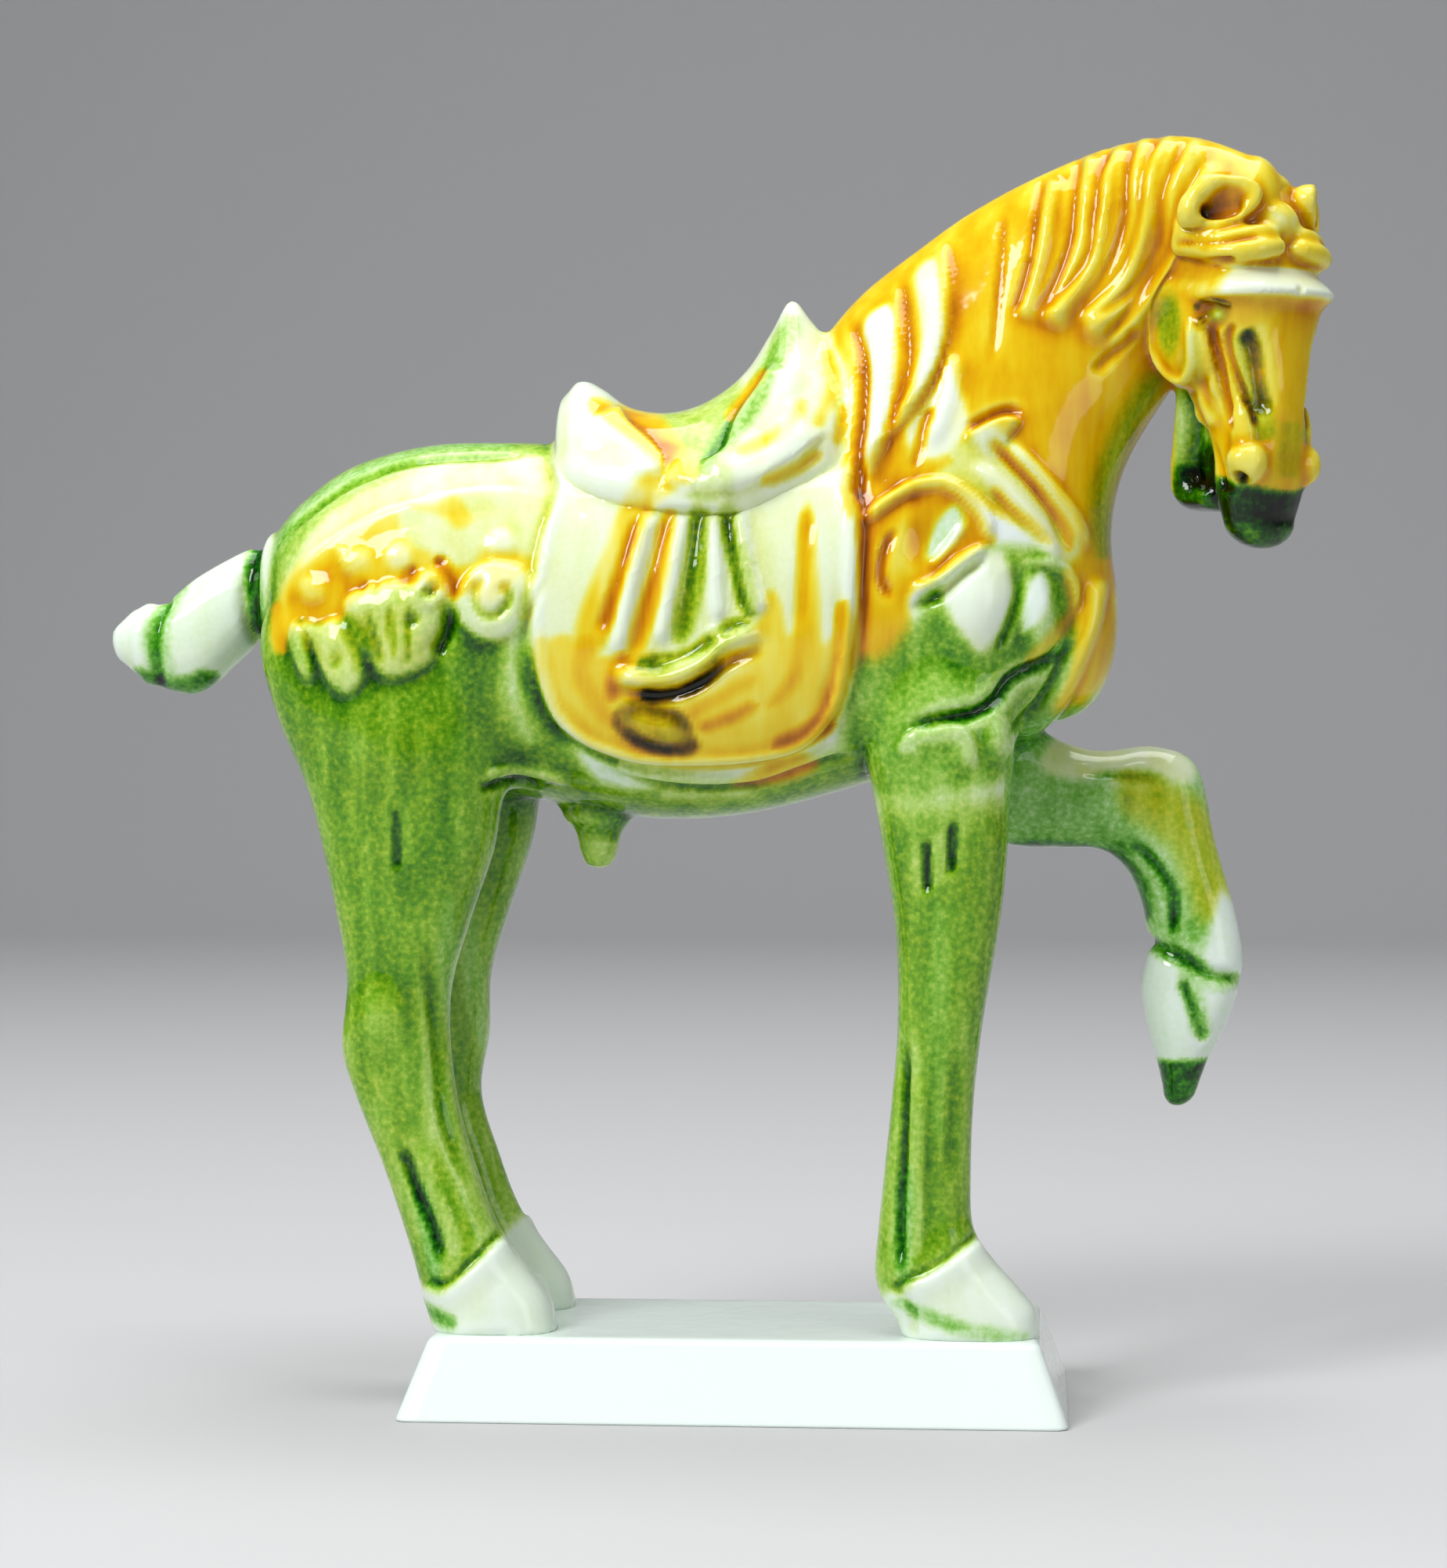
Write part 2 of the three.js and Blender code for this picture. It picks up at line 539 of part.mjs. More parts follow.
function horseSolid() {
  const blanket = grownBarrel(BLANKET_RISE).intersect(outlinePrism(BLANKET));
  const pleated = grownBarrel(BLANKET_RISE + PLEAT_RISE).intersect(outlinePrism(PLEATED));
  let horse = solidOf(loft(BARREL, BARREL_COLUMNS, 1));
  const parts = [
    solidOf(loft(NECK, 18, 1)),
    blanket,
    pleated,
    solidOf(loft(SADDLE, 16, 1)),
    solidOf(loft(TAIL, 10, 1)),
    sheathSolid(),
    legSolid(NEAR_FORELEG),
    legSolid(RAISED_FORELEG),
    legSolid(hindLeg(-LEG_SPREAD, 0)),
    legSolid(hindLeg(LEG_SPREAD, 2)),
  ];
  for (const part of parts) {
    horse = horse.add(part);
  }
  const face = faceFinder(horse);
  for (const side of [NEAR, FAR]) {
    const shown = (detail) => side === NEAR || !detail.nearOnly;
    for (const detail of Object.values(SWELLINGS).filter(shown)) {
      horse = horse.add(swellingSolid(detail, face, side));
    }
    for (const detail of Object.values(FOLDS).filter(shown)) {
      horse = horse.add(foldSolid(detail, face, side));
    }
    const locks = side === NEAR ? LOCKS : FAR_LOCKS;
    for (let i = 0; i < locks; i++) {
      const t = FIRST_LOCK + (i * (LAST_LOCK - FIRST_LOCK)) / (locks - 1);
      horse = horse.add(lockSolid(t, side, LOCK_HALF * (LOCKS / locks)));
    }
  }
  return horse.add(headSolid());
}

// The plinth: a rounded rectangle that draws in from its foot to its top.
function plinthSolid() {
  const CORNER_STEPS = 4;
  const ring = (inset, endInset, z, radius) => {
    const points = [];
    for (let quarter = 0; quarter < 4; quarter++) {
      for (let step = 0; step <= CORNER_STEPS; step++) {
        const turn = (Math.PI / 2) * (quarter + step / CORNER_STEPS);
        const halfX = PLINTH_LENGTH / 2 - endInset - radius;
        const halfY = PLINTH_DEPTH / 2 - inset - radius;
        const sx = quarter === 0 || quarter === 3 ? 1 : -1;
        const sy = quarter < 2 ? 1 : -1;
        points.push(new THREE.Vector3(
          sx * halfX + radius * Math.cos(turn),
          sy * halfY + radius * Math.sin(turn),
          z,
        ));
      }
    }
    return points;
  };
  const rings = [
    ring(PLINTH_EDGE, PLINTH_EDGE, 0, PLINTH_CORNER - PLINTH_EDGE),
    ring(0, 0, PLINTH_EDGE, PLINTH_CORNER),
    ring(PLINTH_SIDE_SLOPE, PLINTH_END_SLOPE, PLINTH_HEIGHT - PLINTH_EDGE, PLINTH_CORNER),
    ring(PLINTH_SIDE_SLOPE + PLINTH_EDGE, PLINTH_END_SLOPE + PLINTH_EDGE, PLINTH_HEIGHT,
      PLINTH_CORNER - PLINTH_EDGE),
  ];
  const middle = (z) => new THREE.Vector3(0, 0, z);
  return solidOf(closeRings(rings, middle(0), middle(PLINTH_HEIGHT)));
}

const figurine = new THREE.Group();
const pieces = { horse: [horseSolid(), MATERIALS.glaze], plinth: [plinthSolid(), MATERIALS.cream] };
for (const [name, [solid, material]] of Object.entries(pieces)) {
  const mesh = new THREE.Mesh(outerSkin(geometryOf(solid)), material);
  mesh.name = name;
  figurine.add(mesh);
}

export default figurine;
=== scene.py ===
"""A glazed ceramic horse on its plinth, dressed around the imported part.

Shapes are worked out in millimetres, +X the way the horse walks and -Y its near flank,
and meshes are written in metres. The horse is one skin over joined limbs. Its folds,
locks and ornaments are raised or cut along the skin's normals from curves in the side
view, and its glaze is two depths, of amber and of green, kept at every point of the skin.
"""
import math

import bpy
import numpy as np
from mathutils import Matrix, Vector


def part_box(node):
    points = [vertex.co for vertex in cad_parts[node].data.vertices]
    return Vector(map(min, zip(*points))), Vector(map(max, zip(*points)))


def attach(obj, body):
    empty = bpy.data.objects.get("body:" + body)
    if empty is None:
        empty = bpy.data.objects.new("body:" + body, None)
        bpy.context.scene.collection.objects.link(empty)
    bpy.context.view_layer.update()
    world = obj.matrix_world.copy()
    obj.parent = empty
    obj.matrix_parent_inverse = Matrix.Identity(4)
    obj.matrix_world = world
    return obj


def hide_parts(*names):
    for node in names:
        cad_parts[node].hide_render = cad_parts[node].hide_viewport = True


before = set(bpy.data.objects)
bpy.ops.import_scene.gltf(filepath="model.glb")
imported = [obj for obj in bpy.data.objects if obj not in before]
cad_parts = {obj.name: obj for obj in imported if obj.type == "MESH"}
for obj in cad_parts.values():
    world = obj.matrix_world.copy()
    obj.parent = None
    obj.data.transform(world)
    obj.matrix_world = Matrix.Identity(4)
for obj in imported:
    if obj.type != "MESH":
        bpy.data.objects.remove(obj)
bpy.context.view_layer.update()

MM = 0.001
PLINTH_LOW, PLINTH_HIGH = (np.array(corner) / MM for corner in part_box("plinth"))
PLINTH_HEIGHT = PLINTH_HIGH[2]
SOLE = PLINTH_HEIGHT - 0.2
LEG_SPREAD = 9.0
HEAD_TURN = math.radians(48)
HEAD_PLACE = np.array([64.4, -13.0, 0.0])
HEAD_MIDDLE = np.array([56.0, -9.0, 123.0])
HEAD_REACH = 26.0
HEAD_FINENESS = 1.4
CELL = 0.56
FACES_KEPT = 190000
NEAR, FAR = -1, 1


# Sections of the body and limbs: `a` and `b` are [x, z] in the side view, `w` the half
# width about `y`, `n` squares the oval and `k` widens it towards `a`.
def section(a, b, w, y=0.0, n=2.1, k=0.0):
    return (*a, *b, w, y, n, k)


BARREL = dict(start=(-57, 96), end=(44, 89), sections=[
    section((-55.4, 102.2), (-55.4, 86), 8),
    section((-52, 106), (-52, 79), 12.6),
    section((-46, 110.2), (-44, 75), 15.2),
    section((-37, 112.6), (-34, 72.5), 16, 0, 2.2),
    section((-27, 112.9), (-23, 70.6), 15.2, 0, 2.2),
    section((-15, 112.4), (-11, 68.6), 16.1, 0, 2.3),
    section((-3, 112.4), (0, 69), 16.5, 0, 2.3),
    section((9, 114), (11, 71.6), 16.5, 0, 2.3),
    section((21, 115), (21, 74.8), 15.8, 0, 2.3),
    section((32, 112), (29, 77), 14, 0, 2.3),
    section((40, 104), (36, 80), 10.5, 0, 2.3),
])

NECK = dict(start=(14, 94), end=(63, 135), sections=[
    section((1, 110), (37, 80), 14),
    section((6.5, 120), (41.5, 88), 14.4, 0, 2.2, -0.1),
    section((12.5, 128.4), (43.2, 96), 13.2, 0, 2.2, -0.2),
    section((20, 134.9), (43.4, 103), 11.6, 0, 2.2, -0.25),
    section((28, 140.2), (44.6, 108.6), 10.2, 0, 2.1, -0.2),
    section((36, 144.2), (47, 113.6), 9, -0.4, 2.1, -0.05),
    section((44, 147), (49.8, 118), 7.6, -1.6, 2.1, 0.2),
    section((52, 147.6), (52.6, 121), 6.8, -3.6, 2.2, 0.3),
    section((59, 145), (56, 124), 6.2, -6.2, 2.2, 0.3),
])

NEAR_FORELEG = dict(start=(23.4, 88), sections=[
    section((32.6, 84), (13.6, 81.4), 7.2, -LEG_SPREAD),
    section((32.4, 76.6), (15.4, 74), 6.8, -LEG_SPREAD, 2.3),
    section((31.6, 68), (16.9, 66), 6, -LEG_SPREAD, 2.4),
    section((30.6, 57.4), (18.5, 55.4), 5.2, -LEG_SPREAD, 2.4),
    section((28.6, 45.6), (18.7, 44.8), 4.7, -LEG_SPREAD, 2.4),
    section((27.5, 36), (18, 36), 4.3, -LEG_SPREAD, 2.4),
    section((27.2, 27.6), (17.2, 28.2), 4.1, -LEG_SPREAD, 2.4),
    section((27.5, 21.6), (16.4, 20.4), 4.3, -LEG_SPREAD, 2.3),
    section((29.9, 17.8), (16.1, 16.4), 4.9, -LEG_SPREAD, 2.3),
    section((32.8, 14.6), (16.9, 13.4), 5.3, -LEG_SPREAD, 2.4),
    section((34.8, 12), (18.5, 11.2), 5.6, -LEG_SPREAD, 2.5),
    section((35.2, SOLE), (19.2, SOLE), 5.8, -LEG_SPREAD, 2.6),
])

RAISED_FORELEG = dict(start=(22, 80), end=(51.6, 34), sections=[
    section((26, 86), (24, 68), 6.4, 7.6),
    section((35, 79.4), (31.5, 65.2), 6, 8.6),
    section((42, 76.6), (37.5, 64.9), 5.4, LEG_SPREAD),
    section((48.6, 77), (42.4, 64.6), 4.8, LEG_SPREAD, 2.2),
    section((53.7, 74.6), (45.6, 62), 4.6, LEG_SPREAD, 2.3),
    section((55.9, 65.6), (47.4, 57.4), 4.1, LEG_SPREAD, 2.3),
    section((58.2, 57.6), (47.9, 52.6), 3.8, LEG_SPREAD, 2.3),
    section((59.2, 51.6), (47.1, 49), 4.1, LEG_SPREAD, 2.2),
    section((58.4, 47), (47.5, 45.4), 4.2, LEG_SPREAD, 2.3),
    section((57, 43.4), (48.4, 41.8), 3.8, LEG_SPREAD, 2.3),
    section((55.2, 39.8), (49.2, 38.8), 3, LEG_SPREAD),
    section((54, 36.6), (49.8, 36.2), 2.3, LEG_SPREAD),
])


def hind_leg(y, forward):
    """Sections of a hind leg about `y`. Above the hock it stands `forward` mm further on."""
    return dict(start=(-42 + forward, 98), sections=[
        section((-25 + forward, 93), (-53, 99), 7.6, y * 0.8),
        section((-24.6 + forward, 83), (-55.8, 90), 8, y * 0.9),
        section((-26.4 + forward, 74.4), (-53.8 + forward, 80.4), 7.4, y, 2.2),
        section((-28 + forward, 66), (-49.6 + forward, 70.2), 6.6, y, 2.3),
        section((-31 + forward, 57), (-46.9 + forward, 58.6), 5.5, y, 2.4),
        section((-33.2 + forward, 49.4), (-45.5 + forward, 50), 4.8, y, 2.4),
        section((-33.4 + forward, 42.4), (-46.1 + forward, 42.2), 4.6, y, 2.4),
        section((-32.4, 35), (-44.5, 36.4), 4.2, y, 2.4),
        section((-30.2, 27.4), (-41.2, 28), 4, y, 2.4),
        section((-27.8, 21.2), (-38.4, 19.6), 4.4, y, 2.3),
        section((-24.4, 16.4), (-37, 14.6), 5, y, 2.3),
        section((-21.8, 12.8), (-36.2, 11.6), 5.4, y, 2.4),
        section((-20.8, SOLE), (-35.4, SOLE), 5.6, y, 2.5),
    ])


TAIL = dict(start=(-48, 99), end=(-75.2, 89.4), sections=[
    section((-51, 105), (-53, 93), 3.8),
    section((-56.3, 101.6), (-57.6, 89.4), 4.2),
    section((-60.6, 99.6), (-60.4, 86.8), 4.6, 0, 2.2),
    section((-65.2, 97), (-64.6, 83.4), 4.6, 0, 2.2),
    section((-69, 94), (-68.8, 83.8), 4.2, 0, 2.2),
    section((-72.2, 93.5), (-72, 85.4), 3.7),
    section((-74.4, 91.6), (-74, 87), 2.6),
])

SADDLE = dict(start=(-21.8, 112), end=(13, 114), sections=[
    section((-20.5, 118.6), (-20.2, 105), 9.6, 0, 2.4, -0.25),
    section((-18.9, 120.2), (-18.4, 104), 11.4, 0, 2.3, -0.3),
    section((-16.3, 119.1), (-15.6, 103), 12.6, 0, 2.3, -0.3),
    section((-13.2, 117), (-12, 102), 13.6, 0, 2.3, -0.25),
    section((-8.6, 116.3), (-8, 101), 14.2, 0, 2.3, -0.2),
    section((-4, 117.6), (-4, 101), 14.4, 0, 2.3, -0.3),
    section((0.4, 121), (0, 101), 14.2, 0, 2.2, -0.45),
    section((3.4, 125.6), (3.4, 102), 13.8, 0, 2.1, -0.55),
    section((5.8, 129.5), (6, 103), 13.2, 0, 2, -0.66),
    section((8.2, 127), (8.6, 104), 12.8, 0, 2, -0.55),
    section((10.8, 124), (11, 105), 12.2, 0, 2, -0.4),
])

# The head in its own frame: x forward out of the face, y to its left, z up.
HEAD = dict(start=(-8, 143.6), end=(-6.2, 99.8), sections=[
    section((-4.4, 140.6), (-14.4, 141.6), 6),
    section((-3, 136.8), (-16.2, 137.6), 7.2),
    section((-2.6, 133.6), (-16.8, 133.2), 7.8, 0, 2.4),
    section((-2.2, 131.6), (-17, 131), 8.2, 0, 2.6),
    section((-0.4, 129.6), (-17, 129.2), 8.8, 0, 2.7, 0.04),
    section((0.2, 128.6), (-17, 128), 9, 0, 2.7, 0.04),
    section((-0.7, 127), (-17, 126.4), 8.2, 0, 2.6, -0.04),
    section((-0.9, 124.6), (-16.4, 124), 7.6, 0, 2.6, -0.12),
    section((-0.9, 121), (-15.8, 120.6), 6.8, 0, 2.5, -0.2),
    section((-1, 117), (-13.8, 116.8), 5.8, 0, 2.5, -0.22),
    section((-1.4, 113.4), (-11.6, 113.4), 5.2, 0, 2.5, -0.16),
    section((-1.8, 110), (-11, 110.2), 5.2, 0, 2.4),
    section((-2.2, 106.8), (-10.8, 106.8), 5.3, 0, 2.3),
    section((-3.4, 103), (-9.8, 103.2), 4.6, 0, 2.2),
])

JAW = dict(start=(-13, 124), end=(-11, 105.4), sections=[
    section((-11, 121), (-17.4, 121.4), 4.8),
    section((-12.8, 117), (-17.8, 116.4), 4.2),
    section((-14.2, 113), (-18.4, 112.2), 3.8),
    section((-14.8, 109.8), (-18.9, 108.6), 3.6),
    section((-14, 107.8), (-17.6, 105), 3.5),
    section((-12.2, 107.4), (-13.8, 104.4), 3.1),
])

MOUTH = dict(start=(-12, 120), end=(-11.4, 106), sections=[
    section((-8, 118), (-15.6, 118), 2.6),
    section((-7, 112), (-16.4, 112), 2.2),
    section((-7, 107.6), (-15.8, 107.4), 2.2),
])


# Surfaces as whole arrays
def smooth_rows(table, per_span):
    """The table's rows and `per_span` steps from each to the next, on a Catmull-Rom curve:
    a cubic in each span, whose slope at a row is half the step between its neighbours."""
    rows = np.asarray(table, float)
    place = np.linspace(0, len(rows) - 1, (len(rows) - 1) * per_span + 1)
    i = np.minimum(place.astype(int), len(rows) - 2)
    f = (place - i)[:, None]
    here, there = rows[i], rows[i + 1]
    slope_here = (there - rows[np.maximum(i - 1, 0)]) / 2
    slope_there = (rows[np.minimum(i + 2, len(rows) - 1)] - here) / 2
    rise = there - here
    curl = slope_here + slope_there - 2 * rise
    return here + f * (slope_here + f * (3 * rise - 2 * slope_here - slope_there + f * curl))


def closed_rings(rings, first_pole, last_pole):
    """Triangles over a grid of rings (rows, columns, 3), with a fan to a pole at each end,
    all turned to face outwards."""
    rows, columns = rings.shape[:2]
    points = np.vstack([rings.reshape(-1, 3), first_pole, last_pole])
    near = np.arange(columns)
    beside = (near + 1) % columns
    row = np.arange(rows - 1)[:, None] * columns
    a, b = row + near, row + beside
    c, d = a + columns, b + columns
    last = (rows - 1) * columns
    poles = len(points) - 2
    triangles = np.vstack([
        np.stack([a, b, d], -1).reshape(-1, 3),
        np.stack([a, d, c], -1).reshape(-1, 3),
        np.stack([np.full(columns, poles), beside, near], -1),
        np.stack([np.full(columns, poles + 1), last + near, last + beside], -1),
    ])
    p, q, r = (points[triangles[:, i]] for i in range(3))
    if np.sum(p * np.cross(q, r)) < 0:
        triangles = triangles[:, ::-1]
    return points, triangles


def signed_power(value, power):
    return np.sign(value) * np.abs(value) ** power


def loft(sections, start=None, end=None, columns=72, per_span=8, cap_rows=8):
    """A squared oval carried through the sections. Between the side view's points a and b
    the oval's long axis is cos(turn)^(2/n), and its width is w sin(turn)^(2/n). An end
    with a tip closes as a quarter round towards it, and one without is flat."""
    parts = smooth_rows(sections, per_span)
    turn = np.linspace(0, 2 * np.pi, columns, endpoint=False)

    def rings_of(part, scale, shift):
        ax, az, bx, bz, w, y, n, k = (part[:, i, None] for i in range(8))
        along = signed_power(np.cos(turn), 2 / n)
        across = signed_power(np.sin(turn), 2 / n)
        return np.stack([
            (ax + bx) / 2 + (ax - bx) / 2 * along * scale + shift[:, :1],
            y + w * across * (1 + k * along) * scale,
            (az + bz) / 2 + (az - bz) / 2 * along * scale + shift[:, 1:],
        ], -1)

    def cap(part, tip):
        bend = np.pi / 2 * np.arange(1, cap_rows) / cap_rows
        middle = (part[:2] + part[2:4]) / 2
        shift = np.sin(bend)[:, None] * (np.array(tip) - middle)
        rows = np.repeat(part[None], cap_rows - 1, 0)
        return rings_of(rows, np.cos(bend)[:, None], shift)

    def pole(part, tip):
        x, z = (part[:2] + part[2:4]) / 2 if tip is None else tip
        return np.array([x, part[5], z])

    rings = [rings_of(parts, 1, np.zeros((len(parts), 2)))]
    if start is not None:
        rings.insert(0, cap(parts[0], start)[::-1])
    if end is not None:
        rings.append(cap(parts[-1], end))
    return closed_rings(np.concatenate(rings), pole(parts[0], start), pole(parts[-1], end))


def ball(centre, radii, columns=28, rows=15):
    """An ellipsoid: rings at equal angles from its top to its bottom."""
    down = np.pi * np.arange(1, rows) / rows
    turn = np.linspace(0, 2 * np.pi, columns, endpoint=False)
    unit = np.stack([
        np.sin(down)[:, None] * np.cos(turn),
        np.sin(down)[:, None] * np.sin(turn),
        np.cos(down)[:, None] * np.ones(columns),
    ], -1)
    centre, radii = np.array(centre), np.array(radii)
    tip = np.array([0, 0, radii[2]])
    return closed_rings(centre + unit * radii, centre + tip, centre - tip)


def turned(profile, x, y, columns=28):
    """A profile of (radius, z), turned about an upright axis at x, y."""
    rows = smooth_rows(profile, 6)
    turn = np.linspace(0, 2 * np.pi, columns, endpoint=False)
    rings = np.stack([
        x + rows[1:-1, :1] * np.cos(turn),
        y + rows[1:-1, :1] * np.sin(turn),
        rows[1:-1, 1:] * np.ones(columns),
    ], -1)
    return closed_rings(rings, np.array([x, y, rows[0, 1]]), np.array([x, y, rows[-1, 1]]))


def rope(path, radii, columns=16):
    """Round rings carried along a 3-D curve. Each row of `radii` is the half-width along the
    path's level direction and the half-height, and both fade to a blunt end."""
    line = smooth_rows(path, 6)
    along = np.gradient(line, axis=0)
    along /= np.linalg.norm(along, axis=1, keepdims=True)
    side = np.cross(along, [0.0, 0.0, 1.0])
    side /= np.linalg.norm(side, axis=1, keepdims=True)
    over = np.cross(side, along)
    share = np.linspace(0, 1, len(line))
    blunt = np.sqrt(np.clip(1 - (2 * share - 1) ** 6, 0.05, 1))
    turn = np.linspace(0, 2 * np.pi, columns, endpoint=False)
    rings = line[:, None] + blunt[:, None, None] * (
        radii[0] * np.cos(turn)[None, :, None] * side[:, None]
        + radii[1] * np.sin(turn)[None, :, None] * over[:, None]
    )
    return closed_rings(rings, line[0] - along[0] * 0.3, line[-1] + along[-1] * 0.3)


def joined(parts):
    """Several closed surfaces as one list of points and one of triangles."""
    starts = np.cumsum([0] + [len(points) for points, _ in parts[:-1]])
    points = np.vstack([points for points, _ in parts])
    triangles = np.vstack([tri + start for (_, tri), start in zip(parts, starts)])
    return points, triangles


# The head's own frame
FORWARD = np.array([math.cos(HEAD_TURN), -math.sin(HEAD_TURN), 0.0])
LEFTWARD = np.array([math.sin(HEAD_TURN), math.cos(HEAD_TURN), 0.0])
HEAD_AXES = np.stack([FORWARD, LEFTWARD, [0.0, 0.0, 1.0]])


def from_head(points):
    return np.asarray(points) @ HEAD_AXES + HEAD_PLACE


def to_head(points):
    return (points - HEAD_PLACE) @ HEAD_AXES.T


def bowl(centre, facing, long_way, size, columns=32):
    """An ear: a closed profile of (radius, depth), turned about `facing` and stretched along
    `long_way`, so that it is hollow towards `facing`. `size` is its half length, half width
    and depth."""
    profile = [(0, -1), (0.55, -0.9), (0.92, -0.4), (1, 0.15), (0.86, 0.36), (0.62, 0.26), (0.36, 0.02), (0, -0.06)]
    rows = smooth_rows(profile, 5)
    facing = np.array(facing) / np.linalg.norm(facing)
    side = np.cross(facing, long_way)
    side /= np.linalg.norm(side)
    along = np.cross(side, facing)
    turn = np.linspace(0, 2 * np.pi, columns, endpoint=False)[None, :, None]
    rings = np.array(centre) + rows[:, None, :1] * (
        size[0] * np.cos(turn) * along + size[1] * np.sin(turn) * side
    ) + rows[:, None, 1:] * size[2] * facing
    return closed_rings(rings[1:-1], rings[0, 0], rings[-1, 0])


def head_parts():
    """The skull, the hanging jaw, and what stands out on either side of them: jowl, nostril,
    eye, ear and forelock."""
    parts = [loft(**HEAD), loft(**JAW, columns=40), loft(**MOUTH, columns=32)]
    parts.append(ball((-4.8, 0, 136.6), (3, 3.6, 3)))
    for side in (NEAR, FAR):
        def mirrored(*place):
            return np.array(place) * [1, side, 1]
        parts.append(ball(mirrored(-11.4, 6.4, 125), (5.4, 3.2, 7)))
        parts.append(ball(mirrored(-4.2, 4.3, 109.4), (2.6, 2.2, 2.6)))
        parts.append(ball(mirrored(-4.7, 4.3, 113), (1.7, 1.5, 4.6)))
        parts.append(bowl(mirrored(-5.6, 7, 138.9), (0.75, 0.66 * side, 0.02), (0.59, -0.76 * side, 0.25),
                          (4.7, 2.7, 2.8)))
        lower = [(-2, 0.8, 133.9), (-2, 4.4, 133.4), (-3.8, 7.1, 133), (-7, 8, 133.5), (-11.4, 8, 135.4)]
        upper = [(-2.6, 1, 135.4), (-3, 4.4, 135), (-4.8, 7.2, 134.4), (-7.6, 8, 134.9), (-11.6, 7.9, 136.8)]
        parts.append(rope([mirrored(*place) for place in lower], (1.3, 1.3)))
        parts.append(rope([mirrored(*place) for place in upper], (1.2, 1.3)))
    return [(from_head(points), triangles) for points, triangles in parts]


def horse_parts():
    sheath = [(0, 62.6), (1.4, 63), (2.2, 64.6), (2.8, 67), (4.4, 69), (4.4, 72), (0, 72)]
    bell = [(0, 82), (1.6, 83), (2.2, 85), (1.8, 87), (0, 88)]
    return [
        loft(**BARREL, columns=96),
        loft(**NECK, columns=96),
        loft(**SADDLE),
        loft(**TAIL),
        loft(**NEAR_FORELEG),
        loft(**RAISED_FORELEG),
        loft(**hind_leg(-LEG_SPREAD, 0)),
        loft(**hind_leg(LEG_SPREAD, 2)),
        turned(sheath, -17, 0),
        turned(bell, 40.2, 0),
        *head_parts(),
    ]


# One skin
def magnified(points):
    """Draws the space about the head larger, so that cells of one size are finer there."""
    away = points - HEAD_MIDDLE
    reach = np.linalg.norm(away, axis=1, keepdims=True)
    inner = np.minimum(reach, HEAD_REACH)
    grown = reach + (HEAD_FINENESS - 1) * inner
    return HEAD_MIDDLE + away * grown / np.maximum(reach, 1e-9)


def unmagnified(points):
    away = points - HEAD_MIDDLE
    grown = np.linalg.norm(away, axis=1, keepdims=True)
    inner = np.minimum(grown / HEAD_FINENESS, HEAD_REACH)
    reach = np.where(grown < HEAD_REACH * HEAD_FINENESS, inner, grown - (HEAD_FINENESS - 1) * HEAD_REACH)
    return HEAD_MIDDLE + away * reach / np.maximum(grown, 1e-9)


def new_mesh(name, points, triangles):
    mesh = bpy.data.meshes.new(name)
    mesh.vertices.add(len(points))
    mesh.vertices.foreach_set("co", np.ascontiguousarray(points, np.float32).ravel())
    mesh.loops.add(triangles.size)
    mesh.loops.foreach_set("vertex_index", np.ascontiguousarray(triangles, np.int32).ravel())
    mesh.polygons.add(len(triangles))
    mesh.polygons.foreach_set("loop_start", np.arange(0, triangles.size, 3, dtype=np.int32))
    mesh.update(calc_edges=True)
    return mesh


def read_mesh(mesh):
    """A mesh's points and triangles as arrays."""
    points = np.empty(len(mesh.vertices) * 3, np.float32)
    mesh.vertices.foreach_get("co", points)
    mesh.calc_loop_triangles()
    triangles = np.empty(len(mesh.loop_triangles) * 3, np.int32)
    mesh.loop_triangles.foreach_get("vertices", triangles)
    return points.reshape(-1, 3).astype(float), triangles.reshape(-1, 3)


def reworked(points, triangles, kind, **settings):
    """Points and triangles after one modifier."""
    carrier = bpy.data.objects.new("carrier", new_mesh("carrier", points, triangles))
    bpy.context.scene.collection.objects.link(carrier)
    modifier = carrier.modifiers.new(kind, kind)
    for name, value in settings.items():
        setattr(modifier, name, value)
    evaluated = carrier.evaluated_get(bpy.context.evaluated_depsgraph_get())
    result = read_mesh(evaluated.to_mesh())
    evaluated.to_mesh_clear()
    mesh = carrier.data
    bpy.data.objects.remove(carrier)
    bpy.data.meshes.remove(mesh)
    return result


def edges_of(triangles):
    """Each pair of neighbouring points once."""
    pairs = np.sort(np.vstack([triangles[:, [0, 1]], triangles[:, [1, 2]], triangles[:, [2, 0]]]), axis=1)
    key = np.unique(pairs[:, 0].astype(np.int64) * 2**32 + pairs[:, 1])
    return np.stack([key >> 32, key & (2**32 - 1)])


def neighbour_mean(values, edges, count):
    """The mean of each point's neighbours."""
    one, other = edges
    total = np.stack([
        np.bincount(one, column[other], count) + np.bincount(other, column[one], count)
        for column in values.T
    ], -1)
    share = np.bincount(one, minlength=count) + np.bincount(other, minlength=count)
    return total / np.maximum(share, 1)[:, None]


def relaxed(values, edges, rounds, weight=1.0):
    """Moves each point towards its neighbours' mean and partly back, so that creases round
    off and the form doesn't shrink."""
    for _ in range(rounds):
        for step in (0.5, -0.52):
            values = values + step * weight * (neighbour_mean(values, edges, len(values)) - values)
    return values


def softened(values, edges, rounds, weight=1.0):
    for _ in range(rounds):
        values = values + 0.6 * weight * (neighbour_mean(values, edges, len(values)) - values)
    return values


